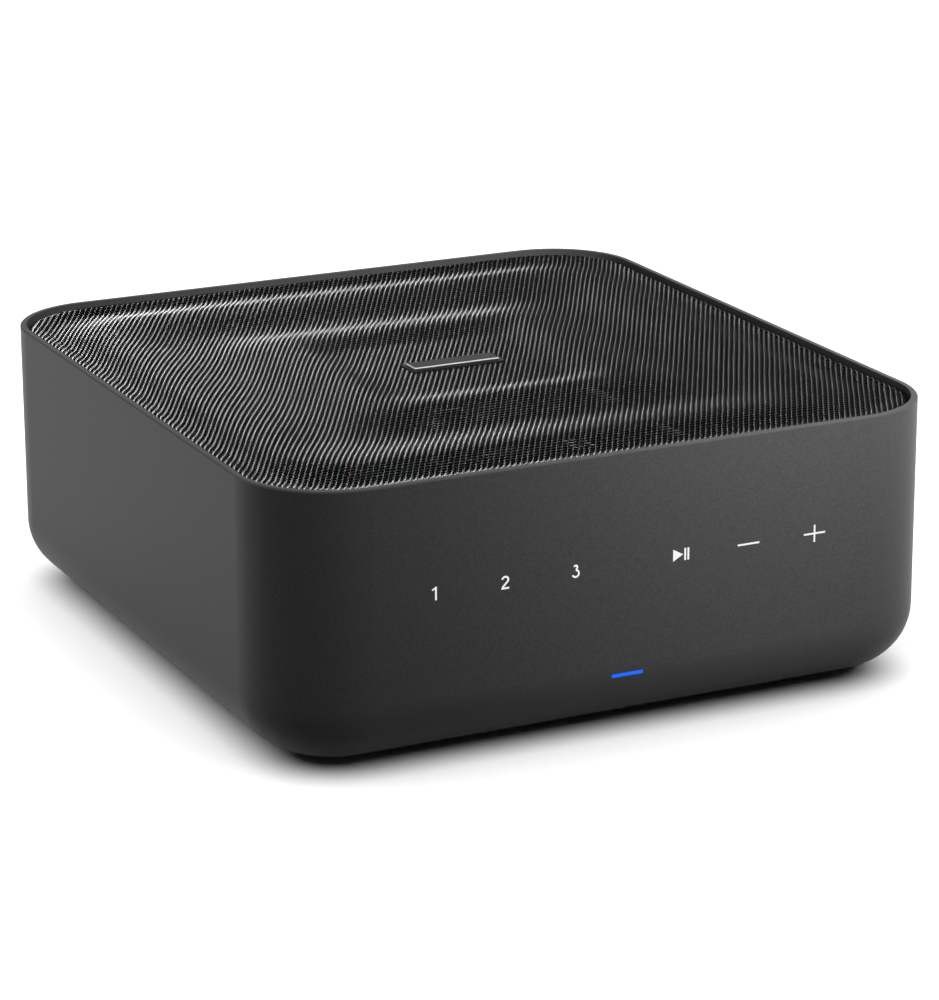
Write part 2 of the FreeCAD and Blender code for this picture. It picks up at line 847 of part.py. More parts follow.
def make_housing():
    outer_y = (middle - S.shell_depth / 2, middle + S.shell_depth / 2)
    body, rounded = rounded_tub(
        "housing_outside", (-side, side), outer_y, (low, rim), S.corner_radius, S.bottom_radius
    )
    soften(body, "Chamfer", rounded, S.rim_bevel, at_level(rim.number))
    hollow, _ = rounded_tub(
        "housing_hollow",
        (-inner_side, inner_side),
        (inner_front, inner_back),
        (ledge_top, rim + S.wall),
        S.corner_radius - S.wall,
        S.bottom_radius - S.wall,
    )
    tub = carve("housing_tub", body, hollow)
    window_outer = upright_plate(
        "window_collar",
        (-window_half - S.window_wall, window_half + S.window_wall),
        (panel_back - S.flange_thickness, inner_back + S.wall / 2),
        (window_low - S.window_wall, window_high + S.window_wall),
        S.window_corner + S.window_wall,
    )
    added = [window_outer]
    for number, (sign, y) in enumerate(SIDE_POSTS):
        inside, embedded = inner_side - S.post_depth, inner_side + S.wall / 2
        x = (-embedded, -inside) if sign < 0 else (inside, embedded)
        added.append(block(f"side_post_{number}", x, span(y, S.post_width), (S.post_foot, frame_seat)))
    for number, x in enumerate(BRACKETS):
        bracket_z = (frame_seat - S.bracket_height, frame_seat)
        front_y = (front + S.wall / 2, inner_front + S.post_depth)
        back_y = (inner_back - S.post_depth, back - S.wall / 2)
        back_z = (window_high + S.window_wall / 2, frame_seat)
        added.append(block(f"front_bracket_{number}", span(x, S.post_width), front_y, bracket_z))
        added.append(block(f"back_bracket_{number}", span(x, S.post_width), back_y, back_z))
    for number, (x, y) in enumerate(BASE_SCREWS):
        boss_z = (plate_top, ledge_top + S.boss_rise)
        added.append(rod(f"base_boss_{number}", S.boss_radius, x, y, boss_z))
    for number, x in enumerate(TOUCH_SCREWS):
        boss_y = (front + S.wall / 2, guide_back)
        added.append(rod(f"touch_boss_{number}", S.touch_boss_radius, x, boss_y, mark_z))
    solid = join("housing_solid", tub, *added)

    rebate_y = (middle - rebate_half_y, middle + rebate_half_y)
    ledge_y = (rebate_y[0] + S.ledge_width, rebate_y[1] - S.ledge_width)
    cuts = [
        rounded_plate("rebate", (-rebate_half_x, rebate_half_x), rebate_y, (low, plate_top), S.rebate_corner),
        rounded_plate(
            "ledge_opening",
            (S.ledge_width - rebate_half_x, rebate_half_x - S.ledge_width),
            ledge_y,
            (low, ledge_top + S.boss_rise),
            S.rebate_corner,
        ),
        upright_plate(
            "window",
            (-window_half, window_half),
            (panel_back, back + S.wall),
            (window_low, window_high),
            S.window_corner,
        ),
        upright_plate(
            "window_mouth",
            (-window_half + S.flange_width, window_half - S.flange_width),
            (panel_back - S.flange_thickness - S.wall, back + S.wall),
            (window_low + S.flange_width, window_high - S.flange_width),
            S.window_corner,
        ),
        block("light_slot", span(0, S.light_length), (front - S.wall, inner_front + S.wall), light_range),
    ]
    for number, (x, y) in enumerate(FRAME_SCREWS):
        hole_z = (frame_seat - S.bracket_height, frame_seat + S.wall)
        is_back = number >= len(FRAME_SCREWS) - len(BRACKETS)
        if is_back:
            hole_z = (window_high + S.window_wall, frame_seat + S.wall)
        cuts.append(rod(f"frame_hole_{number}", S.small_screw_radius + S.screw_fit, x, y, hole_z))
    for number, (x, y) in enumerate(BASE_SCREWS):
        hole_z = (low, ledge_top + S.boss_rise)
        cuts.append(rod(f"base_hole_{number}", S.screw_radius + S.screw_fit, x, y, hole_z))
    for number, (x, z) in enumerate(PANEL_SCREWS):
        hole_y = (panel_back - S.flange_thickness - S.wall, panel_back + S.wall)
        cuts.append(rod(f"panel_hole_{number}", S.small_screw_radius + S.screw_fit, x, hole_y, z))
    for number, x in enumerate(TOUCH_SCREWS):
        hole_y = (inner_front + S.screw_fit, guide_back + S.wall)
        cuts.append(rod(f"touch_hole_{number}", S.small_screw_radius + S.screw_fit, x, hole_y, mark_z))
    cuts.extend(solid_feature(f"mark_cut_{number}", mark) for number, mark in enumerate(MARKS))
    keep(carve("housing_shell", solid, *cuts), "housing_shell")


# Base plate with its vents and standoffs, and the feet


def board_corners(x, y, inset):
    return [(cx, cy) for cx in (x[0] + inset, x[1] - inset) for cy in (y[0] + inset, y[1] - inset)]


board_side = rebate_half_x - S.ledge_width - S.board_ledge_gap
power_x = (-board_side, S.amp_left - S.board_gap)
power_y = (S.power_front, S.power_front + S.power_depth)
amp_x = (S.amp_left, board_side)
amp_y = (S.power_front, S.power_front + S.amp_depth)
main_x = (S.main_left, board_side)
main_y = (S.main_front, port_back)
coil_back = amp_y[1] - S.hole_inset - S.small_head_radius - S.screw_fit
coil_y = (coil_back - S.coil_width, coil_back)
sink_x = (amp_x[0] + S.sink_left_inset, amp_x[1] - S.sink_right_inset)
sink_y = (amp_y[0] + S.sink_front_inset, coil_y[0] - S.sink_coil_gap)
POWER_STANDOFFS = board_corners(power_x, power_y, S.hole_inset)
AMP_STANDOFFS = board_corners(amp_x, amp_y, S.hole_inset)
LOW_STANDOFFS = POWER_STANDOFFS + AMP_STANDOFFS
MAIN_STANDOFFS = [
    (x, y)
    for x in (main_x[0] + S.main_hole_inset, main_x[1] - S.main_hole_inset)
    for y in (main_y[0] + S.main_hole_inset, main_y[0] + S.main_hole_inset + S.main_hole_depth)
]


def make_base():
    half_x, half_y = rebate_half_x - S.plate_gap, rebate_half_y - S.plate_gap
    body = doc.addObject("PartDesign::Body", "base_form")
    outline = sketch_on(body, "base_outline", "XY_Plane", low)
    base_y = (middle - half_y, middle + half_y)
    rounded_outline(outline, (-half_x, half_x), base_y, S.rebate_corner - S.plate_gap)
    pad(body, outline, S.plate_thickness)
    slot = sketch_on(body, "vent_slot", "XY_Plane", plate_top)
    vent_x = span((sink_x[0] + sink_x[1]) / 2, S.vent_length)
    vent_start = (sink_y[0] + sink_y[1] - S.vent_pitch * (S.vent_rows - 1)) / 2
    rounded_outline(slot, vent_x, span(vent_start, S.vent_width), S.vent_width * ROUND_END)
    cut = pocket(body, slot, S.plate_thickness)
    doc.recompute()
    rows = body.newObject("PartDesign::LinearPattern", "vent_rows_pattern")
    rows.Originals = [cut]
    rows.Direction = (origin_part(body, "Y_Axis"), [""])
    bind(rows, "Occurrences", S.vent_rows)
    bind(rows, "Length", S.vent_pitch * (S.vent_rows - 1))
    body.Tip = rows
    stands = [
        rod(f"low_stand_{number}", S.standoff_radius, x, y, (plate_top, low_board))
        for number, (x, y) in enumerate(LOW_STANDOFFS)
    ]
    stands += [
        rod(f"main_stand_{number}", S.standoff_radius, x, y, (plate_top, S.main_board_level))
        for number, (x, y) in enumerate(MAIN_STANDOFFS)
    ]
    holes = [
        rod(f"plate_hole_{number}", S.screw_radius + S.screw_fit, x, y, (low, plate_top))
        for number, (x, y) in enumerate(BASE_SCREWS)
    ]
    tops = [(place_xy, low_board) for place_xy in LOW_STANDOFFS]
    tops += [(place_xy, S.main_board_level) for place_xy in MAIN_STANDOFFS]
    for number, ((x, y), top) in enumerate(tops):
        hole_z = (plate_top, top)
        holes.append(rod(f"stand_hole_{number}", S.small_screw_radius + S.screw_fit, x, y, hole_z))
    keep(carve("base_plate", join("base_solid", body, *stands), *holes), "base_plate")

    feet = []
    foot_x = half_x - S.foot_inset
    foot_y = half_y - S.foot_inset
    for number, (sign_x, sign_y) in enumerate([(-1, -1), (1, -1), (-1, 1), (1, 1)]):
        foot = doc.addObject("Part::Cone", f"foot_{number}")
        bind(foot, "Radius1", S.foot_radius - S.foot_taper)
        bind(foot, "Radius2", S.foot_radius)
        bind(foot, "Height", S.foot_height)
        place(foot, sign_x * foot_x, middle + sign_y * foot_y, sized(0))
        feet.append(foot)
    keep(group("rubber_feet", *feet), "rubber_feet")

    screws = [
        screw(
            f"base_screw_{number}",
            x,
            y,
            (ledge_top + S.boss_rise - S.screw_head_height, low),
            S.screw_radius,
            S.screw_head_radius,
            S.screw_head_height,
        )
        for number, (x, y) in enumerate(BASE_SCREWS)
    ]
    keep(group("base_screws", *screws), "base_screws")


# Grille, frame and badge


BULGE_POWER = 6
LEAST_CORNER = 0.5
RING_STEP = 4.0
SHOULDER_ANGLE = 45.0


def ripple_rise(u):
    """Height of the sheet above its flat centre, at a distance along X from the middle."""
    knots = [
        (0.0, 0.0),
        (S.flat_half.number, 0.0),
        (S.inner_ridge.number, S.ridge_rise.number),
        (S.groove_line.number, -S.groove_drop.number),
        (S.outer_ridge.number, S.ridge_rise.number),
        (S.border_line.number, -S.border_drop.number),
        (grille_half_x.number - S.edge_roll.number, S.edge_rise.number),
    ]
    for (u0, h0), (u1, h1) in zip(knots, knots[1:]):
        if u <= u1:
            share = (u - u0) / (u1 - u0)
            return h0 + (h1 - h0) * (1 - math.cos(math.pi * share)) / 2
    return S.edge_rise.number


def grille_contour(u, z, shrink=0.0):
    """A rounded outline about the centre that grows from a square to the grille's own edge."""
    full_x, full_y = grille_half_x.number, grille_half_y.number
    share = u / full_x
    half_x = u - shrink
    half_y = u + (full_y - full_x) * share**BULGE_POWER - shrink
    corner = max(grille_corner.number * share - shrink, LEAST_CORNER)
    cx, cy = half_x - corner, half_y - corner
    y0 = middle.number
    edges = []
    centres = [(cx, -cy, -90), (cx, cy, 0), (-cx, cy, 90), (-cx, -cy, 180)]
    for index, (ax, ay, start) in enumerate(centres):
        circle = Part.Circle(FreeCAD.Vector(ax, y0 + ay, z), Z_AXIS, corner)
        arc = Part.ArcOfCircle(circle, math.radians(start), math.radians(start + 90)).toShape()
        bx, by, next_start = centres[(index + 1) % 4]
        end = arc.valueAt(arc.LastParameter)
        turn = math.radians(next_start)
        following = FreeCAD.Vector(bx + corner * math.cos(turn), y0 + by + corner * math.sin(turn), z)
        edges.append(arc)
        edges.append(Part.LineSegment(end, following).toShape())
    return Part.Wire(edges)


def ringed_solid(wires):
    """A closed solid whose skin runs from ring to ring, with a flat face in the first and the last."""
    faces = [Part.Face(wires[0]), Part.Face(wires[-1])]
    for inner, outer in zip(wires, wires[1:]):
        for start, end in zip(inner.Edges, outer.Edges):
            faces.append(Part.makeRuledSurface(start, end))
    shell = Part.makeShell(faces)
    shell.sewShape()
    solid = Part.makeSolid(shell)
    solid.fix(1e-5, 1e-5, 1e-4)
    return solid


def grille_openings():
    """A plain grid of openings through the sheet, left out under the badge."""
    reach = (grille_half_x - S.opening_border, grille_half_y - S.opening_border)
    pitch = [(2 * half + S.opening_web) / S.opening_columns for half in reach]
    badge = (S.badge_length / 2 + S.badge_border, S.badge_depth / 2 + S.badge_border)
    middle_step = int(S.opening_columns.number) // 2
    steps = range(-middle_step, middle_step + 1)
    opening_z = (grille_level - S.opening_web, grille_level + S.opening_web)
    openings = []
    for column, row in itertools.product(steps, steps):
        aside = [pitch[0] * column, pitch[1] * row]
        half = [(step - S.opening_web) / 2 for step in pitch]
        is_under_badge = all(abs(aside[i].number) - half[i].number < badge[i].number for i in (0, 1))
        if not is_under_badge:
            x = (aside[0] - half[0], aside[0] + half[0])
            y = (middle + aside[1] - half[1], middle + aside[1] + half[1])
            openings.append(block(f"opening_{len(openings)}", x, y, opening_z))
    return openings


def make_grille():
    full = grille_half_x.number
    roll = S.edge_roll.number
    thick = S.sheet_thickness.number
    level = grille_level.number
    flat_end = full - roll
    steps = [S.flat_half.number / 2, S.flat_half.number]
    lines = [S.flat_half, S.inner_ridge, S.groove_line, S.outer_ridge, S.border_line]
    stops = [line.number for line in lines] + [flat_end]
    for start, end in zip(stops, stops[1:]):
        parts = max(2, round((end - start) / RING_STEP))
        steps += [start + (end - start) * index / parts for index in range(1, parts + 1)]
    over = [(u, level + ripple_rise(u), 0.0) for u in steps]
    edge_top = level + S.edge_rise.number
    shoulder = roll * (1 - math.cos(math.radians(SHOULDER_ANGLE)))
    over.append((full, edge_top - shoulder, shoulder))
    over.append((full, edge_top - roll, 0.0))
    over.append((full, frame_top.number, 0.0))
    under = [(full, frame_top.number, thick), (full, edge_top - roll - thick / 2, thick)]
    under += [(u, level + ripple_rise(u) - thick, 0.0) for u in reversed(steps)]
    wires = [grille_contour(*place_of_ring) for place_of_ring in over + under]
    form = solid_feature("grille_form", ringed_solid(wires))
    pin_places = (-S.badge_pin_offset, S.badge_pin_offset)
    holes = [
        rod(
            f"badge_hole_{number}",
            S.badge_pin_radius + S.screw_fit,
            x,
            middle,
            (grille_level - S.badge_pin_length, grille_level + S.badge_thickness),
        )
        for number, x in enumerate(pin_places)
    ]
    keep(carve("top_grille", form, *holes, *grille_openings()), "top_grille")

    half_x, half_y = inner_side - S.frame_gap, S.shell_depth / 2 - S.wall - S.frame_gap
    outer = rounded_plate(
        "frame_outer",
        (-half_x, half_x),
        (middle - half_y, middle + half_y),
        (frame_seat, frame_top),
        S.corner_radius - S.wall - S.frame_gap,
    )
    opening = rounded_plate(
        "frame_opening",
        (-half_x + S.frame_width, half_x - S.frame_width),
        (middle - half_y + S.frame_width, middle + half_y - S.frame_width),
        (frame_seat, frame_top),
        S.corner_radius - S.wall - S.frame_gap - S.frame_width,
    )
    screw_holes = [
        rod(f"frame_pass_{number}", S.small_screw_radius + S.screw_fit, x, y, (frame_seat, frame_top))
        for number, (x, y) in enumerate(FRAME_SCREWS)
    ]
    keep(carve("grille_frame", outer, opening, *screw_holes), "grille_frame")
    screws = []
    for number, (x, y) in enumerate(FRAME_SCREWS):
        is_back = number >= len(FRAME_SCREWS) - len(BRACKETS)
        tip = window_high + S.window_wall + S.screw_fit if is_back else frame_seat - S.bracket_height / 2
        screws.append(
            screw(
                f"frame_screw_{number}",
                x,
                y,
                (tip, frame_top),
                S.small_screw_radius,
                S.small_head_radius,
                S.small_head_height,
            )
        )
    keep(group("frame_screws", *screws), "frame_screws")

    length, depth, border = S.badge_length, S.badge_depth, S.badge_border
    back_z = (grille_level, grille_level + S.badge_back)
    face_z = (back_z[1], back_z[1] + S.badge_thickness)
    backing = block("badge_backing", span(0, length + 2 * border), span(middle, depth + 2 * border), back_z)
    face = block("badge_face", span(0, length), span(middle, depth), face_z)
    pin_z = (grille_level - S.badge_pin_length, back_z[1])
    pins = [
        rod(f"badge_pin_{number}", S.badge_pin_radius, x, middle, pin_z)
        for number, x in enumerate(pin_places)
    ]
    keep(join("badge_plate", backing, face, *pins), "badge_plate")


# Front: light guide, light pipe, touch board


def make_front():
    guide_z = span(mark_z, S.guide_height)
    slab = block("guide_slab", (-S.guide_half, S.guide_half), (inner_front, guide_back), guide_z)
    mark_places = (S.mark_outer, S.mark_middle, S.mark_inner)
    led_places = [sign * place_x for sign in (-1, 1) for place_x in mark_places]
    led_y = (guide_back - S.led_thickness, guide_back)
    pockets = [
        block(
            f"guide_pocket_{number}",
            span(x, S.led_width + 2 * S.port_gap),
            (led_y[0] - S.light_gap, led_y[1]),
            span(mark_z, S.led_width + 2 * S.port_gap),
        )
        for number, x in enumerate(led_places)
    ]
    boss_holes = [
        rod(f"guide_hole_{number}", S.touch_boss_radius + S.port_gap, x, (inner_front, guide_back), mark_z)
        for number, x in enumerate(TOUCH_SCREWS)
    ]
    marks = [solid_feature(f"mark_{number}", mark) for number, mark in enumerate(MARKS)]
    plain = carve("guide_plain", slab, *pockets, *boss_holes)
    keep(join("icon_light_guide", plain, *marks), "icon_light_guide")

    drop = S.bottom_radius - light_z + low
    surface_inset = S.bottom_radius - root(S.bottom_radius * S.bottom_radius - drop * drop)
    pipe = block(
        "status_light_pipe",
        span(0, S.light_length - 2 * S.light_gap),
        (front + surface_inset, guide_back - S.led_thickness),
        span(light_z, S.light_height - 2 * S.light_gap),
    )
    keep(pipe, "status_light_pipe")

    board_y = (guide_back, touch_back)
    wide = block("touch_wide", (-S.guide_half, S.guide_half), board_y, guide_z)
    tongue_low = low + S.tongue_drop
    tongue = block("touch_tongue", (-S.tongue_half, S.tongue_half), board_y, (tongue_low, mark_z))
    board_holes = [
        rod(f"touch_pass_{number}", S.small_screw_radius + S.screw_fit, x, board_y, mark_z)
        for number, x in enumerate(TOUCH_SCREWS)
    ]
    plain_board = carve("touch_plain", join("touch_form", wide, tongue), *board_holes)
    leds = [
        block(f"mark_led_{number}", span(x, S.led_width), led_y, span(mark_z, S.led_width))
        for number, x in enumerate(led_places)
    ]
    leds.append(block("status_led", span(0, S.light_length - S.led_width), led_y, light_range))
    keep(group("touch_board", plain_board, *leds), "touch_board")


# Rear ports

line_z = (main_top + S.line_jack_rise, main_top + S.line_jack_rise + S.line_jack_stack)
LINE_JACKS = [
    (S.line_jack_x, line_z[0]),
    (S.line_jack_x, line_z[1]),
    (S.line_jack_x + S.line_jack_pitch, line_z[0]),
]
optical_z = (main_top, main_top + S.optical_height)
hdmi_z = (main_top, main_top + S.hdmi_height)
ethernet_z = (main_top, main_top + S.ethernet_height)
usb_z = (upper_top, upper_top + S.usb_height)
minijack_z = (upper_top, upper_top + S.minijack_height)
button_z = upper_top + S.button_rise
PRESS_BUTTONS = {"connect_button": S.connect_x, "bluetooth_button": S.bluetooth_x}
optical_axis_z = optical_z[0] + S.optical_height / 2


def grown(ends, gap):
    return ends[0] - gap, ends[1] + gap


def make_panel():
    gap = S.panel_gap
    plate = upright_plate(
        "panel_form",
        (-window_half + gap, window_half - gap),
        (panel_back, panel_face),
        (window_low + gap, window_high - gap),
        S.window_corner,
    )
    through = (panel_back, panel_face)
    cuts = []
    for number, (x, z) in enumerate(PANEL_SCREWS):
        cuts.append(rod(f"panel_pass_{number}", S.small_screw_radius + S.screw_fit, x, through, z))
    for label, (x, z) in POST_PLACES.items():
        cuts.append(rod(f"bush_hole_{label}", S.bush_radius + S.port_gap, x, through, z))
    for number, (x, z) in enumerate(LINE_JACKS):
        cuts.append(rod(f"line_hole_{number}", S.line_barrel_radius + S.port_gap, x, through, z))
    mouths = {
        "inlet": (span(S.inlet_x, S.inlet_width), span(S.inlet_z, S.inlet_height)),
        "optical": (span(S.optical_x, S.optical_width), optical_z),
        "hdmi": (span(S.hdmi_x, S.hdmi_width), hdmi_z),
        "ethernet": (span(S.ethernet_x, S.ethernet_width), ethernet_z),
        "usb": (span(S.usb_x, S.usb_width), usb_z),
    }
    for label, (x, z) in mouths.items():
        cuts.append(block(f"{label}_hole", grown(x, S.port_gap), through, grown(z, S.port_gap)))
    minijack_axis = upper_top + S.minijack_height / 2
    cuts.append(rod("minijack_hole", S.minijack_barrel + S.port_gap, S.minijack_x, through, minijack_axis))
    for label, x in PRESS_BUTTONS.items():
        cuts.append(rod(f"{label}_hole", S.button_radius + S.running_fit, x, through, button_z))
    cuts.append(rod("reset_hole", S.reset_hole_radius, S.reset_x, through, button_z))
    keep(carve("rear_panel", plate, *cuts), "rear_panel")
    screws = [
        screw(
            f"panel_screw_{number}",
            x,
            (panel_back - S.flange_thickness, panel_face),
            z,
            S.small_screw_radius,
            S.small_head_radius,
            S.small_head_height,
        )
        for number, (x, z) in enumerate(PANEL_SCREWS)
    ]
    keep(group("panel_screws", *screws), "panel_screws")


collar_face = panel_face + S.terminal_thickness + S.collar_height
washer_face = collar_face + S.washer_thickness
cap_end = back + S.terminal_reach
stud_end = cap_end - S.stud_end_gap
bush_end = panel_back - S.bush_length
nut_end = bush_end - S.nut_thickness
stud_tail_end = nut_end - S.stud_tail
lug_end = stud_tail_end - S.lug_length


def make_terminals():
    low_x, high_x = POST_PLACES["right_plus"][0], POST_PLACES["right_minus"][0]
    low_z, high_z = POST_PLACES["right_plus"][1], POST_PLACES["left_plus"][1]
    plate_x = grown((low_x, high_x), S.terminal_margin)
    plate_z = grown((low_z, high_z), S.terminal_margin)
    plate_y = (panel_face, panel_face + S.terminal_thickness)
    pieces = [upright_plate("terminal_plate", plate_x, plate_y, plate_z, S.window_corner)]
    bores = []
    studs = []
    nuts = []
    for label, (x, z) in POST_PLACES.items():
        pieces.append(rod(f"collar_{label}", S.collar_radius, x, (plate_y[0], collar_face), z))
        pieces.append(rod(f"bush_{label}", S.bush_radius, x, (bush_end, plate_y[1]), z))
        bores.append(rod(f"bore_{label}", S.stud_radius + S.thread_fit, x, (bush_end, collar_face), z))
        shaft = rod(f"shaft_{label}", S.stud_radius, x, (stud_tail_end, stud_end), z)
        tail = rod(f"tail_{label}", S.lug_radius, x, (lug_end, stud_tail_end), z)
        banana = rod(f"banana_{label}", S.stud_bore, x, (stud_end - S.stud_bore_depth, stud_end), z)
        studs.append(carve(f"stud_{label}", join(f"stud_form_{label}", shaft, tail), banana))
        nut = doc.addObject("Part::Prism", f"nut_form_{label}")
        nut.Polygon = 6
        bind(nut, "Circumradius", S.nut_radius)
        bind(nut, "Height", S.nut_thickness)
        nut.Placement = FreeCAD.Placement(FreeCAD.Vector(), FreeCAD.Rotation(Z_AXIS, Y_AXIS))
        place(nut, x, nut_end, z)
        nut_bore = rod(f"nut_bore_{label}", S.stud_radius + S.thread_fit, x, (nut_end, bush_end), z)
        nuts.append(carve(f"nut_{label}", nut, nut_bore))
    keep(carve("terminal_base", join("terminal_form", *pieces), *bores), "terminal_base")
    keep(group("terminal_studs", *studs, *nuts), "terminal_studs")
    for label, (x, z) in POST_PLACES.items():
        ring = rod(f"washer_form_{label}", S.washer_radius, x, (collar_face, washer_face), z)
        hole = rod(f"washer_bore_{label}", S.stud_radius + S.thread_fit, x, (collar_face, washer_face), z)
        keep(carve(f"post_washer_{label}", ring, hole), f"post_washer_{label}")
        make_post_cap(label, x, z)


def make_post_cap(label, x, z):
    """A fluted cap that screws along its stud, with a mouth for a plug at its end."""
    body = doc.addObject("PartDesign::Body", f"post_cap_{label}")
    section = sketch_on(body, f"cap_section_{label}", "XY_Plane", sized(0))
    bore = S.stud_radius + S.thread_fit
    bevel = S.cap_bevel
    closed_outline(
        section,
        [
            (bore, washer_face),
            (S.cap_radius - bevel, washer_face),
            (S.cap_radius, washer_face + bevel),
            (S.cap_radius, cap_end - bevel),
            (S.cap_radius - bevel, cap_end),
            (S.cap_mouth, cap_end),
            (S.cap_mouth, cap_end - S.cap_lip),
            (bore, cap_end - S.cap_lip),
        ],
    )
    turned = body.newObject("PartDesign::Revolution", f"cap_turned_{label}")
    turned.Profile = section
    turned.ReferenceAxis = (section, ["V_Axis"])
    turned.Angle = 360
    flute = sketch_on(body, f"cap_flute_{label}", "XZ_Plane", -cap_end)
    flute.addGeometry(Part.Circle(FreeCAD.Vector(S.cap_radius.number, 0), Z_AXIS, S.flute_radius.number))
    flute.addConstraint(Sketcher.Constraint("PointOnObject", 0, 3, -1))
    hold(flute, "Radius", 0, S.flute_radius)
    hold(flute, "DistanceX", -1, 1, 0, 3, S.cap_radius + S.flute_radius / 2)
    cut = pocket(body, flute, cap_end - washer_face - 2 * bevel, reverse=True)
    doc.recompute()
    around = body.newObject("PartDesign::PolarPattern", f"cap_flutes_{label}")
    around.Originals = [cut]
    around.Axis = (origin_part(body, "Y_Axis"), [""])
    around.Angle = 360
    bind(around, "Occurrences", S.flute_count)
    body.Tip = around
    bind(body, "Placement.Base.x", x)
    bind(body, "Placement.Base.z", z)
    keep(body, f"post_cap_{label}")


def make_line_jacks():
    body_y = (panel_back - S.line_jack_depth, panel_back)
    end = panel_face + S.line_barrel_reach
    aux = block(
        "aux_form",
        span(S.line_jack_x, S.line_jack_width),
        body_y,
        (main_top, line_z[1] + S.line_jack_margin),
    )
    sub = block(
        "subwoofer_form",
        span(LINE_JACKS[2][0], S.line_jack_width),
        body_y,
        (main_top, line_z[0] + S.line_jack_margin),
    )
    keep(group("line_jack_blocks", aux, sub), "line_jack_blocks")
    barrels = []
    inserts = []
    for number, (x, z) in enumerate(LINE_JACKS):
        inner = S.line_barrel_radius - S.line_barrel_wall
        tube = rod(f"barrel_form_{number}", S.line_barrel_radius, x, (panel_back, end), z)
        bore = rod(f"barrel_bore_{number}", inner, x, (panel_back, end), z)
        barrels.append(carve(f"barrel_{number}", tube, bore))
        core = rod(f"insert_form_{number}", inner, x, (panel_back, end - S.line_barrel_wall), z)
        contact = rod(f"insert_bore_{number}", S.line_contact_radius, x, (panel_back, end), z)
        inserts.append(carve(f"insert_{number}", core, contact))
    keep(group("line_jack_barrels", *barrels), "line_jack_barrels")
    keep(group("line_jack_inserts", *inserts), "line_jack_inserts")


shutter_y = port_face - S.shutter_setback - S.shutter_thickness / 2
shutter_half = S.optical_mouth / 2 - S.shutter_gap
shutter_axis_z = optical_axis_z + S.optical_mouth / 2 - S.shutter_gap - S.shutter_thickness / 2


def make_optical():
    x = span(S.optical_x, S.optical_width)
    form = block("optical_form", x, (port_face - S.optical_depth, port_face), optical_z)
    mouth = block(
        "optical_mouth",
        span(S.optical_x, S.optical_mouth),
        (port_face - S.optical_mouth_depth, port_face),
        span(optical_axis_z, S.optical_mouth),
    )
    reach = S.optical_mouth / 2 + S.shutter_pin_reach
    pin_x = (S.optical_x - reach, S.optical_x + reach)
    socket_x = grown(pin_x, S.thread_fit)
    socket = rod("shutter_socket", S.shutter_pin_radius + S.thread_fit, socket_x, shutter_y, shutter_axis_z)
    keep(carve("optical_jack", form, mouth, socket), "optical_jack")
    flap_low = optical_axis_z - S.optical_mouth / 2 + S.shutter_gap
    flap = block(
        "shutter_flap",
        (S.optical_x - shutter_half, S.optical_x + shutter_half),
        span(shutter_y, S.shutter_thickness),
        (flap_low, shutter_axis_z),
    )
    pin = rod("shutter_pin", S.shutter_pin_radius, pin_x, shutter_y, shutter_axis_z)
    keep(join("optical_shutter", flap, pin), "optical_shutter")


def shelled_port(name, x, z, depth, tongue_width):
    """A sheet-metal port with a contact tongue across its mouth."""
    wall = S.port_wall
    form = block(f"{name}_form", x, (port_face - depth, port_face), z)
    mouth = block(f"{name}_mouth", grown(x, -wall), (port_face - depth + wall, port_face), grown(z, -wall))
    tongue_x = span((x[0] + x[1]) / 2, tongue_width)
    tongue_z = span((z[0] + z[1]) / 2, S.tongue_thickness)
    tongue_y = (port_face - depth, port_face - S.tongue_setback)
    tongue = block(f"{name}_tongue", tongue_x, tongue_y, tongue_z)
    keep(join(name, carve(f"{name}_shell", form, mouth), tongue), name)


def make_digital_ports():
    shelled_port("hdmi_port", span(S.hdmi_x, S.hdmi_width), hdmi_z, S.hdmi_depth, S.hdmi_tongue)
    shelled_port("usb_port", span(S.usb_x, S.usb_width), usb_z, S.usb_depth, S.usb_tongue)
    x = S.ethernet_x
    form_y = (port_face - S.ethernet_depth, port_face)
    form = block("ethernet_form", span(x, S.ethernet_width), form_y, ethernet_z)
    mouth_y = (port_face - S.ethernet_mouth_depth, port_face)
    mouth_z = span((ethernet_z[0] + ethernet_z[1]) / 2, S.ethernet_mouth_height)
    mouth = block("ethernet_mouth", span(x, S.ethernet_mouth_width), mouth_y, mouth_z)
    latch_y = (port_face - S.latch_reach, port_face)
    latch_z = (mouth_z[0] - S.latch_height, mouth_z[0] + S.port_wall)
    latch = block("ethernet_latch", span(x, S.latch_width), latch_y, latch_z)
    keep(carve("ethernet_port", form, mouth, latch), "ethernet_port")

    axis = upper_top + S.minijack_height / 2
    jack = block(
        "minijack_form",
        span(S.minijack_x, S.minijack_width),
        (panel_back - S.minijack_depth, panel_back),
        minijack_z,
    )
    barrel = rod("minijack_barrel_form", S.minijack_barrel, S.minijack_x, (panel_back, port_face), axis)
    bore_y = (port_face - S.minijack_bore_depth, port_face)
    bore = rod("minijack_bore_form", S.minijack_bore, S.minijack_x, bore_y, axis)
    keep(carve("minijack", join("minijack_solid", jack, barrel), bore), "minijack")


flange_y = (panel_back - S.button_flange_gap - S.button_flange, panel_back - S.button_flange_gap)
switch_face = flange_y[0] - S.button_travel - S.button_flange_gap
switch_back = switch_face - S.switch_depth
stem_end = switch_face - S.button_travel - S.button_flange_gap


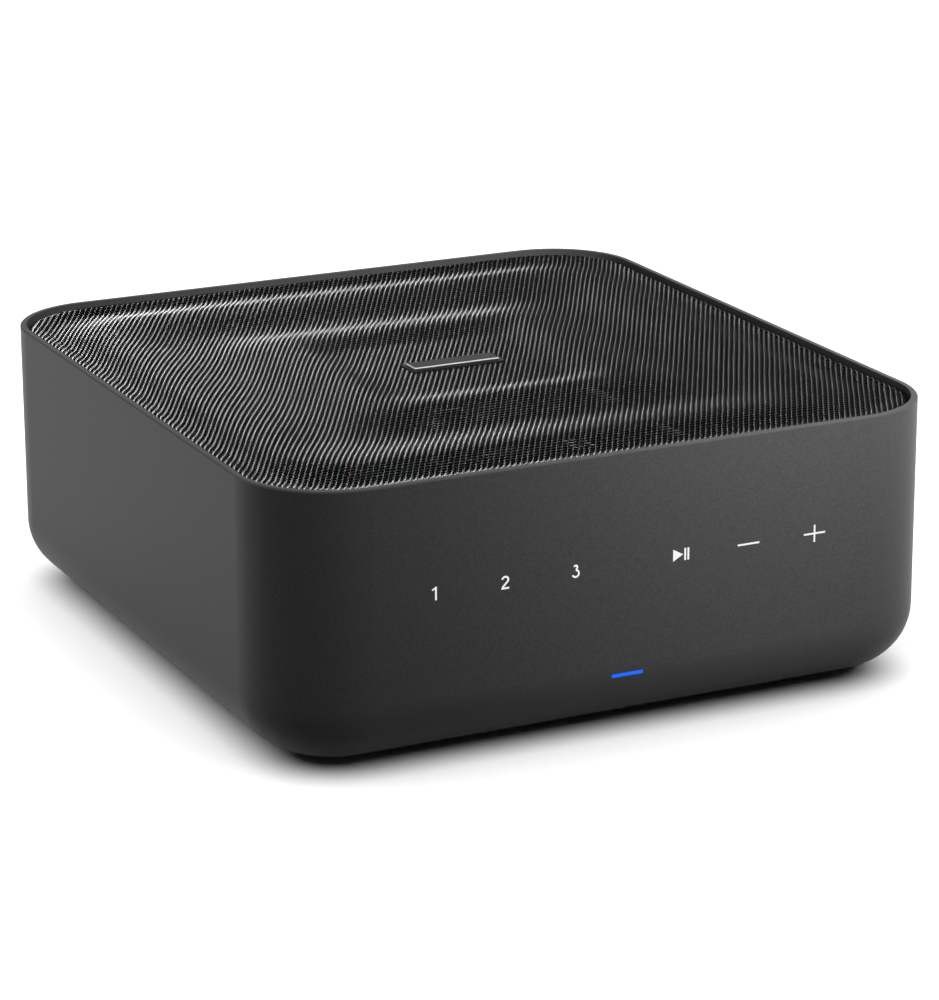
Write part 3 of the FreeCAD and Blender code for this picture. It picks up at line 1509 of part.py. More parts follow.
def make_buttons():
    switches = []
    for label, x in PRESS_BUTTONS.items():
        cap = rod(f"{label}_cap", S.button_radius, x, (flange_y[0], panel_face + S.button_proud), button_z)
        flange = rod(f"{label}_flange", S.button_radius + S.button_flange, x, flange_y, button_z)
        stem = rod(f"{label}_stem", S.button_stem_radius, x, (stem_end, flange_y[0]), button_z)
        keep(join(label, cap, flange, stem), label)
        switches.append(make_switch(label, x, S.switch_width, S.button_stem_radius))
    head = rod("reset_head", S.reset_radius + S.button_flange, S.reset_x, flange_y, button_z)
    stem = rod("reset_stem", S.reset_radius, S.reset_x, (stem_end, flange_y[0]), button_z)
    keep(join("reset_button", head, stem), "reset_button")
    switches.append(make_switch("reset", S.reset_x, S.reset_switch_width, S.reset_radius))
    keep(group("button_switches", *switches), "button_switches")


def make_switch(label, x, width, stem_radius):
    case_z = (upper_top, button_z + S.switch_head)
    case = block(f"{label}_switch_case", span(x, width), (switch_back, switch_face), case_z)
    depth = 2 * S.button_travel + 2 * S.button_flange_gap
    bore_y = (switch_face - depth, switch_face)
    bore = rod(f"{label}_switch_bore", stem_radius + S.running_fit, x, bore_y, button_z)
    return carve(f"{label}_switch", case, bore)


def make_inlet():
    x, z = S.inlet_x, S.inlet_z
    flange = S.inlet_flange
    face = panel_face + S.inlet_flange_thickness
    rear = panel_face - S.inlet_depth
    housing = block("inlet_body", span(x, S.inlet_width), (rear, face), span(z, S.inlet_height))
    flange_x = grown(span(x, S.inlet_width), flange)
    flange_z = grown(span(z, S.inlet_height), flange)
    rim_plate = upright_plate("inlet_rim", flange_x, (panel_face, face), flange_z, S.window_corner)
    socket = upright_plate(
        "inlet_socket",
        span(x, S.socket_width),
        (face - S.socket_depth, face),
        span(z, S.socket_height),
        S.socket_height * ROUND_END,
    )
    pins = []
    passes = []
    for number, sign in enumerate((-1, 1)):
        pin_x = x + sign * S.inlet_pin_offset
        lug_end_y = rear - S.inlet_lug_length
        pin_y = (lug_end_y, face - S.socket_depth + S.inlet_pin_length)
        pins.append(rod(f"inlet_pin_{number}", S.inlet_pin_radius, pin_x, pin_y, z))
        pass_y = (rear, face - S.socket_depth)
        passes.append(rod(f"inlet_pass_{number}", S.inlet_pin_radius, pin_x, pass_y, z))
    keep(carve("mains_inlet", join("inlet_form", housing, rim_plate), socket, *passes), "mains_inlet")
    keep(group("inlet_pins", *pins), "inlet_pins")


# Boards inside


def make_board(name, x, y, z, holes):
    form = block(f"{name}_form", x, y, z)
    cuts = [
        rod(f"{name}_hole_{number}", S.small_screw_radius + S.screw_fit, hx, hy, z)
        for number, (hx, hy) in enumerate(holes)
    ]
    keep(carve(name, form, *cuts), name)


upper_x = (S.upper_left, main_x[1])
upper_y = (S.upper_front, port_back)
UPPER_SPACERS = [
    (upper_x[0] + S.hole_inset / 2, upper_y[0] + S.hole_inset / 2),
    (upper_x[1] - S.hole_inset / 2, upper_y[0] + S.hole_inset / 2),
]


def make_boards():
    low_z = (low_board, low_board_top)
    make_board("power_board", power_x, power_y, low_z, POWER_STANDOFFS)
    make_board("amp_board", amp_x, amp_y, low_z, AMP_STANDOFFS)
    make_board("main_board", main_x, main_y, (S.main_board_level, main_top), MAIN_STANDOFFS)
    make_board("upper_board", upper_x, upper_y, (upper_level, upper_top), UPPER_SPACERS)
    spacers = []
    for number, (x, y) in enumerate(UPPER_SPACERS):
        post = rod(f"spacer_form_{number}", S.standoff_radius, x, y, (main_top, upper_level))
        hole = rod(f"spacer_hole_{number}", S.small_screw_radius + S.screw_fit, x, y, (main_top, upper_level))
        spacers.append(carve(f"spacer_{number}", post, hole))
    support_x, support_y = span(S.support_x, S.support_width), span(S.support_y, S.support_width)
    spacers.append(block("rear_support", support_x, support_y, (main_top, upper_level)))
    keep(group("upper_spacers", *spacers), "upper_spacers")
    screws = []
    seats = [(place_xy, low_board_top, S.low_board_rise) for place_xy in LOW_STANDOFFS]
    seats += [(place_xy, main_top, S.low_board_rise) for place_xy in MAIN_STANDOFFS]
    seats += [(place_xy, upper_top, S.low_board_rise) for place_xy in UPPER_SPACERS]
    for number, ((x, y), seat, reach) in enumerate(seats):
        screws.append(
            screw(
                f"board_screw_{number}",
                x,
                y,
                (seat - reach, seat),
                S.small_screw_radius,
                S.small_head_radius,
                S.small_head_height,
            )
        )
    for number, x in enumerate(TOUCH_SCREWS):
        screws.append(
            screw(
                f"touch_screw_{number}",
                x,
                (inner_front + 2 * S.screw_fit, touch_back),
                mark_z,
                S.small_screw_radius,
                S.small_head_radius,
                S.small_head_height,
            )
        )
    keep(group("board_screws", *screws), "board_screws")
    sheet_z = (plate_top, plate_top + S.sheet_rise)
    form = block("sheet_form", power_x, power_y, sheet_z)
    cuts = [
        rod(f"sheet_hole_{number}", S.standoff_radius + S.plate_gap, x, y, sheet_z)
        for number, (x, y) in enumerate(POWER_STANDOFFS)
    ]
    keep(carve("insulation_sheet", form, *cuts), "insulation_sheet")


sink_z = low_board_top + S.chip_height + S.pad_thickness
sink_middle_x = (sink_x[0] + sink_x[1]) / 2
sink_middle_y = (sink_y[0] + sink_y[1]) / 2
speaker_plug_left = amp_x[0] + S.speaker_plug_inset
net_x = (S.net_left, S.net_left + S.net_width)
net_y = (S.main_front + S.net_setback, S.main_front + S.net_setback + S.net_depth)
net_top = main_top + S.net_height
power_plug_y = span(power_y[0] + S.power_plug_offset, (S.supply_count + 2) * S.lead_pitch)
chip_spread = (sink_x[1] - sink_x[0]) / 4
AMP_CHIPS = [
    (span(sink_middle_x + sign * chip_spread, S.chip_width), span(sink_middle_y, S.chip_width))
    for sign in (-1, 1)
]


def amp_chips():
    """The two output chips under the heat sink."""
    chip_z = (low_board_top, low_board_top + S.chip_height)
    return [block(f"amp_chip_{number}", x, y, chip_z) for number, (x, y) in enumerate(AMP_CHIPS)]


def make_amp_section():
    pads = [
        block(f"heat_pad_{number}", x, y, (low_board_top + S.chip_height, sink_z))
        for number, (x, y) in enumerate(AMP_CHIPS)
    ]
    keep(group("heat_pads", *pads), "heat_pads")
    body = doc.addObject("PartDesign::Body", "sink_form")
    slab = sketch_on(body, "sink_slab", "XY_Plane", sink_z)
    rounded_outline(slab, sink_x, sink_y, S.sink_margin)
    pad(body, slab, S.sink_base)
    fin = sketch_on(body, "sink_fin", "XY_Plane", sink_z + S.sink_base)
    fin_left = sink_x[0] + S.sink_margin
    fin_right = fin_left + S.fin_thickness
    fin_y = (sink_y[0] + S.sink_margin, sink_y[1] - S.sink_margin)
    corners = [(fin_left, fin_y[0]), (fin_right, fin_y[0]), (fin_right, fin_y[1]), (fin_left, fin_y[1])]
    closed_outline(fin, corners)
    first = pad(body, fin, S.fin_height)
    doc.recompute()
    fins = body.newObject("PartDesign::LinearPattern", "sink_fins")
    fins.Originals = [first]
    fins.Direction = (origin_part(body, "X_Axis"), [""])
    bind(fins, "Occurrences", S.fin_count)
    bind(fins, "Length", sink_x[1] - sink_x[0] - 2 * S.sink_margin - S.fin_thickness)
    body.Tip = fins
    legs = [
        rod(f"sink_leg_{number}", S.standoff_radius, x, y, (low_board_top, sink_z + S.sink_base / 2))
        for number, (x, y) in enumerate(board_corners(sink_x, sink_y, S.hole_inset))
    ]
    keep(join("heat_sink", body, *legs), "heat_sink")
    coils = []
    first_coil = sink_x[0] + S.coil_inset
    for number in range(int(S.coil_count.number)):
        x = first_coil + number * S.coil_pitch
        coil_z = (low_board_top, low_board_top + S.coil_height)
        coils.append(block(f"coil_{number}", span(x, S.coil_width), coil_y, coil_z))
    keep(group("output_coils", *coils), "output_coils")


def make_power_section():
    centre_x = (power_x[0] + power_x[1]) / 2
    centre_y = (power_y[0] + power_y[1]) / 2
    top = low_board_top
    core = block(
        "transformer_core",
        span(centre_x, S.transformer_width),
        span(centre_y, S.core_depth),
        (top + S.core_step, top + S.transformer_height),
    )
    winding = block(
        "transformer_winding",
        span(centre_x, S.winding_width),
        span(centre_y, S.transformer_depth),
        (top, top + S.transformer_height - S.core_step),
    )
    keep(join("power_transformer", core, winding), "power_transformer")
    capacitors = []
    for number, sign in enumerate((-1, 1)):
        x = centre_x + sign * (S.capacitor_radius + S.part_gap)
        y = centre_y - S.transformer_depth / 2 - S.capacitor_radius - S.part_gap
        can_z = (top, top + S.capacitor_height)
        capacitors.append(rod(f"capacitor_{number}", S.capacitor_radius, x, y, can_z))
    keep(group("bulk_capacitors", *capacitors), "bulk_capacitors")
    choke_front = centre_y + S.transformer_depth / 2 + S.choke_gap
    choke_y = (choke_front, choke_front + S.choke_width)
    ring = block("choke_ring", span(centre_x, S.choke_width), choke_y, (top, top + S.choke_height))
    keep(ring, "line_choke")
    fuse_x = power_x[0] + S.hole_inset + S.fuse_radius
    fuse_z = top + S.fuse_radius + S.fuse_lift
    tube_y = span(power_y[1] - S.fuse_offset, S.fuse_length)
    clips = [rod("fuse_tube", S.fuse_radius, fuse_x, tube_y, fuse_z)]
    for number, y in enumerate(tube_y):
        inward = -1 if number else 1
        clip_y = (y, y + S.fuse_radius) if inward > 0 else (y - S.fuse_radius, y)
        cradle = block(f"fuse_cradle_{number}", span(fuse_x, S.fuse_cradle_width), clip_y, (top, fuse_z))
        seat = rod(f"fuse_seat_{number}", S.fuse_radius, fuse_x, clip_y, fuse_z)
        clips.append(carve(f"fuse_clip_{number}", cradle, seat))
    keep(group("mains_fuse", *clips), "mains_fuse")
    plate_right = power_x[1] - S.heat_plate_inset
    plate_x = (plate_right - S.heat_plate_thickness, plate_right)
    plate_z = (top, top + S.heat_plate_height)
    plate = block("heat_plate", plate_x, span(centre_y, S.heat_plate_length), plate_z)
    keep(plate, "power_heat_plate")


plug_top = low_board_top + S.connector_height
inlet_plug_y = power_y[1] - S.plug_inset
power_plug_x = power_x[1] - S.power_plug_inset
supply_plug_x = amp_x[0] + S.supply_plug_inset
speaker_plug_y = amp_y[1] - S.plug_inset
front_plug_x = main_x[1] - S.front_plug_inset
front_plug_y = main_y[0] + S.front_plug_offset
touch_plug_x = S.touch_screw_offset + S.touch_plug_gap


def make_main_section():
    chip_z = (main_top, main_top + S.chip_height)
    chip_x = span(net_x[1] + S.processor_offset, S.chip_width)
    processor_y = (net_y[0], net_y[0] + S.chip_width)
    memory_y = (processor_y[1] + S.memory_gap, processor_y[1] + S.memory_gap + S.memory_depth)
    converter_x = span(net_x[0] - S.converter_offset, S.converter_width)
    chips = [
        block("processor", chip_x, processor_y, chip_z),
        block("memory", chip_x, memory_y, chip_z),
        block("converter", converter_x, (net_y[0], net_y[0] + S.converter_width), chip_z),
    ]
    keep(group("board_chips", *amp_chips(), *chips), "board_chips")
    can = block("shield_form", net_x, net_y, (main_top, net_top))
    inside_x, inside_y = grown(net_x, -S.port_wall), grown(net_y, -S.port_wall)
    hollow = block("shield_hollow", inside_x, inside_y, (main_top, net_top - S.port_wall))
    keep(carve("network_shield", can, hollow), "network_shield")


def make_connectors():
    low_z = (low_board_top, plug_top)
    width = S.connector_width
    speaker_x = (speaker_plug_left, speaker_plug_left + S.speaker_plug_width)
    front_y = span(front_plug_y, S.speaker_plug_width)
    front_z = (main_top, main_top + S.low_connector_height)
    touch_x = span(touch_plug_x, S.speaker_plug_width)
    touch_y = (touch_back, touch_back + S.low_connector_height)
    plugs = [
        block("mains_plug", span(S.inlet_x, S.socket_width), span(inlet_plug_y, S.plug_depth), low_z),
        block("power_plug", span(power_plug_x, width), power_plug_y, low_z),
        block("supply_plug", span(supply_plug_x, width), power_plug_y, low_z),
        block("speaker_plug", speaker_x, span(speaker_plug_y, width), low_z),
        block("front_plug", span(front_plug_x, width), front_y, front_z),
        block("touch_plug", touch_x, touch_y, span(mark_z, width)),
    ]
    keep(group("board_connectors", *plugs), "board_connectors")


def make_leads():
    """Supply and speaker leads; returns the cable to the front."""
    radius = S.lead_radius
    top = plug_top
    inlet_rear = panel_face - S.inlet_depth - S.inlet_lug_length
    inlet = []
    for number, sign in enumerate((-1, 1)):
        x = S.inlet_x + sign * S.inlet_pin_offset
        route = [(x, inlet_rear, S.inlet_z), (x, inlet_plug_y, S.inlet_z), (x, inlet_plug_y, top)]
        inlet.append(solid_feature(f"inlet_lead_{number}", lead(route, radius, S.lead_bend)))
    speaker = []
    first_x = speaker_plug_left + S.first_lead_inset
    gather_y = lug_end - S.speaker_gather
    level = top + S.lead_level
    for number, label in enumerate(["right_plus", "left_plus", "right_minus", "left_minus"]):
        x, z = POST_PLACES[label]
        drop_x = first_x + number * S.lead_pitch
        route = [
            (x, lug_end, z),
            (x, lug_end - 2 * S.lead_level, z),
            (drop_x, gather_y, level),
            (drop_x, speaker_plug_y, level),
            (drop_x, speaker_plug_y, top),
        ]
        speaker.append(solid_feature(f"speaker_lead_{number}", lead(route, radius, S.speaker_bend)))
    keep(group("speaker_leads", *speaker), "speaker_leads")
    supply = []
    arch = top + S.supply_arch
    for number in range(int(S.supply_count.number)):
        y = power_plug_y[0] + (number + 1.5) * S.lead_pitch
        ends = (power_plug_x, supply_plug_x)
        route = [(ends[0], y, top), (ends[0], y, arch), (ends[1], y, arch), (ends[1], y, top)]
        supply.append(solid_feature(f"power_lead_{number}", lead(route, radius, S.supply_bend)))
    keep(group("power_leads", *inlet, *supply), "power_leads")
    plug_back = touch_back + S.low_connector_height
    turn_y = plug_back + S.cable_straight
    route = [
        (touch_plug_x, plug_back, mark_z),
        (touch_plug_x, turn_y, mark_z),
        (front_plug_x, turn_y + S.cable_slant, mark_z),
        (front_plug_x, front_plug_y, mark_z),
        (front_plug_x, front_plug_y, main_top + S.low_connector_height),
    ]
    return solid_feature("front_cable", lead(route, S.cable_radius, S.cable_bend))


def make_antennas(front_cable):
    antennas = []
    leads = [front_cable]
    for number, sign in enumerate((-1, 1)):
        face = inner_side - S.antenna_pad
        inside = face - S.antenna_thickness
        x = (-face, -inside) if sign < 0 else (inside, face)
        antenna_y = span(S.antenna_y, S.antenna_length)
        strip = block(f"antenna_strip_{number}", x, antenna_y, span(antenna_z, S.antenna_height))
        pad_x = (-inner_side, -face) if sign < 0 else (face, inner_side)
        backing_y = span(S.antenna_y, S.antenna_length / 2)
        backing_z = span(antenna_z, S.antenna_height / 2)
        backing = block(f"antenna_backing_{number}", pad_x, backing_y, backing_z)
        antennas.append(join(f"antenna_{number}", strip, backing))
        drop_x = (net_x[0] + net_x[1]) / 2 + sign * S.coax_spread
        route = [
            (sign * inside, S.antenna_y, antenna_z),
            (drop_x, S.antenna_y, antenna_z),
            (drop_x, S.antenna_y, net_top),
        ]
        leads.append(solid_feature(f"antenna_lead_{number}", lead(route, S.coax_radius, S.coax_bend)))
    keep(group("wifi_antennas", *antennas), "wifi_antennas")
    keep(group("signal_leads", *leads), "signal_leads")


make_housing()
make_base()
make_grille()
make_front()
make_panel()
make_terminals()
make_line_jacks()
make_optical()
make_digital_ports()
make_buttons()
make_inlet()
make_boards()
make_amp_section()
make_power_section()
make_main_section()
make_connectors()
make_antennas(make_leads())

doc.recompute()

for item in doc.Objects:
    if "Invalid" in item.State or "Error" in item.State:
        raise RuntimeError(f"{item.Name} failed: {item.State}")

os.makedirs("parts", exist_ok=True)
for piece in nodes:
    shape = piece.Shape
    if shape.isNull() or not shape.isValid() or not shape.Solids:
        raise RuntimeError(f"{piece.Label} has no valid solid")
    shape.exportStep(f"parts/{piece.Label}.step")
    print(piece.Label, len(shape.Solids), round(shape.Volume, 2))
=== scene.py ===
import json
import math

import bpy
import numpy as np
from mathutils import Matrix, Vector


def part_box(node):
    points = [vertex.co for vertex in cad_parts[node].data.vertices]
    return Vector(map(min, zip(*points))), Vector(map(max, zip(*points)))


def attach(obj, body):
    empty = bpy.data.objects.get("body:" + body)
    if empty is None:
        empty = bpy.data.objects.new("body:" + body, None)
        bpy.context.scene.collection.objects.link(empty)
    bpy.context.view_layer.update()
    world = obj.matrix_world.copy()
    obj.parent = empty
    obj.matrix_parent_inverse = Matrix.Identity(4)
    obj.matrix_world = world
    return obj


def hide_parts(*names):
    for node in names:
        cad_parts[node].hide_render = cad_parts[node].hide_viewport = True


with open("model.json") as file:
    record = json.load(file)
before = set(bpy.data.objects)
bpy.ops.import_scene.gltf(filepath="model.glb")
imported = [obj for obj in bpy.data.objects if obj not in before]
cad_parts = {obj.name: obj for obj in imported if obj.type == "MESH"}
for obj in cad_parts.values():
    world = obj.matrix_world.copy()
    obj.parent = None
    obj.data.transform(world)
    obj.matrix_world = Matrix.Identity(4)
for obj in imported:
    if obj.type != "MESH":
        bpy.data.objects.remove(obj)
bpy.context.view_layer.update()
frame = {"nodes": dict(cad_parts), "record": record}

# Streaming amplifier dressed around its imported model

# The front faces -Y and Z is up. Sizes are in millimetres, except on the stage.
MM = 0.001
nodes = frame["nodes"]


def box_of(name):
    """A node's lowest and highest corner in millimetres, to a thousandth."""
    return [[round(value / MM, 3) for value in corner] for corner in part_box(name)]


# Camera at the photograph's viewing angle

# Angles are in radians, the shift in widths of the picture, clipping distances in metres.
HOUSING_LOW, HOUSING_HIGH = box_of("housing_shell")
VIEW_TARGET = (Vector(HOUSING_LOW) + Vector(HOUSING_HIGH)) / 2 * MM
VIEW_DISTANCE = 1152.0 * MM
VIEW_YAW = -0.4461
VIEW_PITCH = 0.29925
VIEW_ROLL = -0.00471
SENSOR_WIDTH = 36.0
LENS = 132.96
SHIFT = (0.01637, -0.0158)
CLIP_START = 0.05
CLIP_END = 50.0


def make_camera():
    flat = math.cos(VIEW_PITCH)
    back = Vector((math.sin(VIEW_YAW) * flat, -math.cos(VIEW_YAW) * flat, math.sin(VIEW_PITCH)))
    across = Vector((0, 0, 1)).cross(back).normalized()
    upward = back.cross(across)
    rolled_across = across * math.cos(VIEW_ROLL) + upward * math.sin(VIEW_ROLL)
    rolled_upward = upward * math.cos(VIEW_ROLL) - across * math.sin(VIEW_ROLL)
    turned = Matrix((rolled_across, rolled_upward, back)).transposed().to_4x4()
    bpy.ops.object.camera_add()
    camera = bpy.context.object
    camera.name = "photo_camera"
    camera.matrix_world = Matrix.Translation(VIEW_TARGET + back * VIEW_DISTANCE) @ turned
    camera.data.sensor_width = SENSOR_WIDTH
    camera.data.lens = LENS
    camera.data.shift_x, camera.data.shift_y = SHIFT
    camera.data.clip_start = CLIP_START
    camera.data.clip_end = CLIP_END
    bpy.context.scene.camera = camera


make_camera()


# Finishes

# Patterns are in cycles per metre, depths in millimetres. At LIT_FLATNESS a rounded normal has
# turned so far from its face that a light is down to EDGE_GLOW of its strength.
PAINT_PATCHES = 120.0
BOARD_TRACKS = 160.0
MASK_HAZE = 600.0
RUBBER_BLOOM = 900.0
LIGHT_HAZE = 1500.0
BRUSHED_LINES = 2500.0

BRUSHED_DEPTH = 0.002
MASK_DEPTH = 0.02
RUBBER_DEPTH = 0.02
TURN_DEPTH = 0.2
TRACK_SHARE = 0.06
# Painted shade: over this range of the turns' pattern, a winding's grooves go from half its colour
# up to the full colour.
SHADED_GROOVES = (0.1, 0.6)
LIT_FLATNESS = 0.9
EDGE_GLOW = 0.05
SATIN = 0.35


def new_finish(name):
    finish = bpy.data.materials.new(name)
    finish.use_nodes = True
    return finish, finish.node_tree, finish.node_tree.nodes["Principled BSDF"]


def set_shader(shader, **values):
    """Sets the shader's own sockets, by their names with low lines for spaces."""
    for name, value in values.items():
        shader.inputs[name.replace("_", " ")].default_value = value


def noise(tree, cycles, detail=2.0, stretch=(1.0, 1.0, 1.0)):
    """Noise on Object coordinates, in cycles per metre, drawn out by a stretch on each axis."""
    place = tree.nodes.new("ShaderNodeTexCoord")
    mapping = tree.nodes.new("ShaderNodeMapping")
    mapping.inputs["Scale"].default_value = stretch
    texture = tree.nodes.new("ShaderNodeTexNoise")
    texture.inputs["Scale"].default_value = cycles
    texture.inputs["Detail"].default_value = detail
    tree.links.new(place.outputs["Object"], mapping.inputs["Vector"])
    tree.links.new(mapping.outputs["Vector"], texture.inputs["Vector"])
    return texture.outputs["Fac"]


def shade(colour, factor):
    return tuple(part * factor for part in colour)


def tone(tree, shader, source, colour, darkest, lightest, between=(0.35, 0.65)):
    """Shades the colour from darkest to lightest where the source lies between two values."""
    ramp = tree.nodes.new("ShaderNodeValToRGB")
    ramp.color_ramp.elements[0].position, ramp.color_ramp.elements[1].position = between
    ramp.color_ramp.elements[0].color = (*shade(colour, darkest), 1.0)
    ramp.color_ramp.elements[1].color = (*shade(colour, lightest), 1.0)
    tree.links.new(source, ramp.inputs["Fac"])
    tree.links.new(ramp.outputs["Color"], shader.inputs["Base Color"])


def gloss(tree, shader, source, roughness, below, above):
    """Varies the roughness with the source, from so far below it to so far above it."""
    spread = tree.nodes.new("ShaderNodeMapRange")
    spread.inputs["To Min"].default_value = roughness - below
    spread.inputs["To Max"].default_value = roughness + above
    tree.links.new(source, spread.inputs["Value"])
    tree.links.new(spread.outputs["Result"], shader.inputs["Roughness"])


def relief(tree, shader, source, depth):
    """Raises the shader's surface by the source, to a depth in millimetres."""
    bump = tree.nodes.new("ShaderNodeBump")
    bump.inputs["Distance"].default_value = depth * MM
    tree.links.new(source, bump.inputs["Height"])
    tree.links.new(bump.outputs["Normal"], shader.inputs["Normal"])


def moulded(name, colour, roughness, grain=0.3, depth=0.01, specular=0.5, variation=0.12):
    """Moulded plastic with a spark-eroded grain; grain and depth are in millimetres."""
    finish, tree, shader = new_finish(name)
    fine = noise(tree, 1.0 / (grain * MM), detail=3.0)
    tone(tree, shader, fine, colour, darkest=1 - variation, lightest=1 + variation)
    gloss(tree, shader, fine, roughness, below=0.04, above=0.04)
    relief(tree, shader, fine, depth)
    set_shader(shader, Specular_IOR_Level=specular)
    return finish


def painted(name, colour, roughness, grain=0.15, depth=0.004, specular=0.5):
    """Powder coat or satin paint on metal; grain and depth are in millimetres."""
    finish, tree, shader = new_finish(name)
    orange_peel = noise(tree, 1.0 / (grain * MM), detail=2.0)
    tone(tree, shader, noise(tree, PAINT_PATCHES), colour, darkest=0.88, lightest=1.12)
    gloss(tree, shader, orange_peel, roughness, below=0.03, above=0.05)
    relief(tree, shader, orange_peel, depth)
    set_shader(shader, Specular_IOR_Level=specular)
    return finish


def bare_metal(name, colour, roughness, stretch=(1.0, 1.0, 1.0), cycles=BRUSHED_LINES):
    """Plated or brushed metal, its fine lines drawn out by the stretch."""
    finish, tree, shader = new_finish(name)
    lines = noise(tree, cycles, detail=3.0, stretch=stretch)
    tone(tree, shader, lines, colour, darkest=0.9, lightest=1.05)
    gloss(tree, shader, lines, roughness, below=0.05, above=0.08)
    relief(tree, shader, lines, BRUSHED_DEPTH)
    set_shader(shader, Metallic=1.0)
    return finish


def soft_rubber(name, colour, roughness=0.8):
    """Rubber or a lead's sheath, with a faint bloom."""
    finish, tree, shader = new_finish(name)
    bloom = noise(tree, RUBBER_BLOOM, detail=4.0)
    tone(tree, shader, bloom, colour, darkest=0.8, lightest=1.3)
    gloss(tree, shader, bloom, roughness, below=0.1, above=0.1)
    relief(tree, shader, bloom, RUBBER_DEPTH)
    set_shader(shader, Specular_IOR_Level=0.3)
    return finish


def lit(name, colour, strength, fade):
    """Plastic that carries light to its face and fades this many millimetres from its edge."""
    finish, tree, shader = new_finish(name)
    haze = noise(tree, LIGHT_HAZE)
    tone(tree, shader, haze, colour, darkest=0.04, lightest=0.06)
    gloss(tree, shader, haze, SATIN, below=0.05, above=0.05)
    rounded = tree.nodes.new("ShaderNodeBevel")
    rounded.inputs["Radius"].default_value = fade * MM
    face = tree.nodes.new("ShaderNodeNewGeometry")
    flatness = tree.nodes.new("ShaderNodeVectorMath")
    flatness.operation = "DOT_PRODUCT"
    glow = tree.nodes.new("ShaderNodeMapRange")
    glow.inputs["From Min"].default_value = LIT_FLATNESS
    glow.inputs["To Min"].default_value = EDGE_GLOW * strength
    glow.inputs["To Max"].default_value = strength
    tree.links.new(rounded.outputs["Normal"], flatness.inputs[0])
    tree.links.new(face.outputs["True Normal"], flatness.inputs[1])
    tree.links.new(flatness.outputs["Value"], glow.inputs["Value"])
    tree.links.new(glow.outputs["Result"], shader.inputs["Emission Strength"])
    set_shader(shader, Emission_Color=(*colour, 1.0), Specular_IOR_Level=0.2)
    return finish


def circuit_board(name, mask, track):
    """Solder mask with tracks under it and a little unevenness."""
    finish, tree, shader = new_finish(name)
    place = tree.nodes.new("ShaderNodeTexCoord")
    tracks = tree.nodes.new("ShaderNodeTexBrick")
    tracks.inputs["Scale"].default_value = BOARD_TRACKS
    tracks.inputs["Mortar Size"].default_value = TRACK_SHARE
    tracks.inputs["Color1"].default_value = (*mask, 1.0)
    tracks.inputs["Color2"].default_value = (*shade(mask, 0.8), 1.0)
    tracks.inputs["Mortar"].default_value = (*track, 1.0)
    tree.links.new(place.outputs["Object"], tracks.inputs["Vector"])
    tree.links.new(tracks.outputs["Color"], shader.inputs["Base Color"])
    gloss(tree, shader, noise(tree, MASK_HAZE), SATIN, below=0.05, above=0.05)
    relief(tree, shader, tracks.outputs["Fac"], -MASK_DEPTH)
    return finish


def wound(name, colour, turns):
    """Wire or tape laid in even turns along Z, with painted shade that darkens the grooves between
    turns.
    """
    finish, tree, shader = new_finish(name)
    place = tree.nodes.new("ShaderNodeTexCoord")
    rings = tree.nodes.new("ShaderNodeTexWave")
    rings.bands_direction = "Z"
    rings.inputs["Scale"].default_value = turns
    tree.links.new(place.outputs["Object"], rings.inputs["Vector"])
    # Painted shade: the grooves between turns are drawn at half the colour.
    tone(tree, shader, rings.outputs["Fac"], colour, 0.5, 1.0, between=SHADED_GROOVES)
    gloss(tree, shader, rings.outputs["Fac"], SATIN, below=0.05, above=0.15)
    relief(tree, shader, rings.outputs["Fac"], TURN_DEPTH)
    return finish


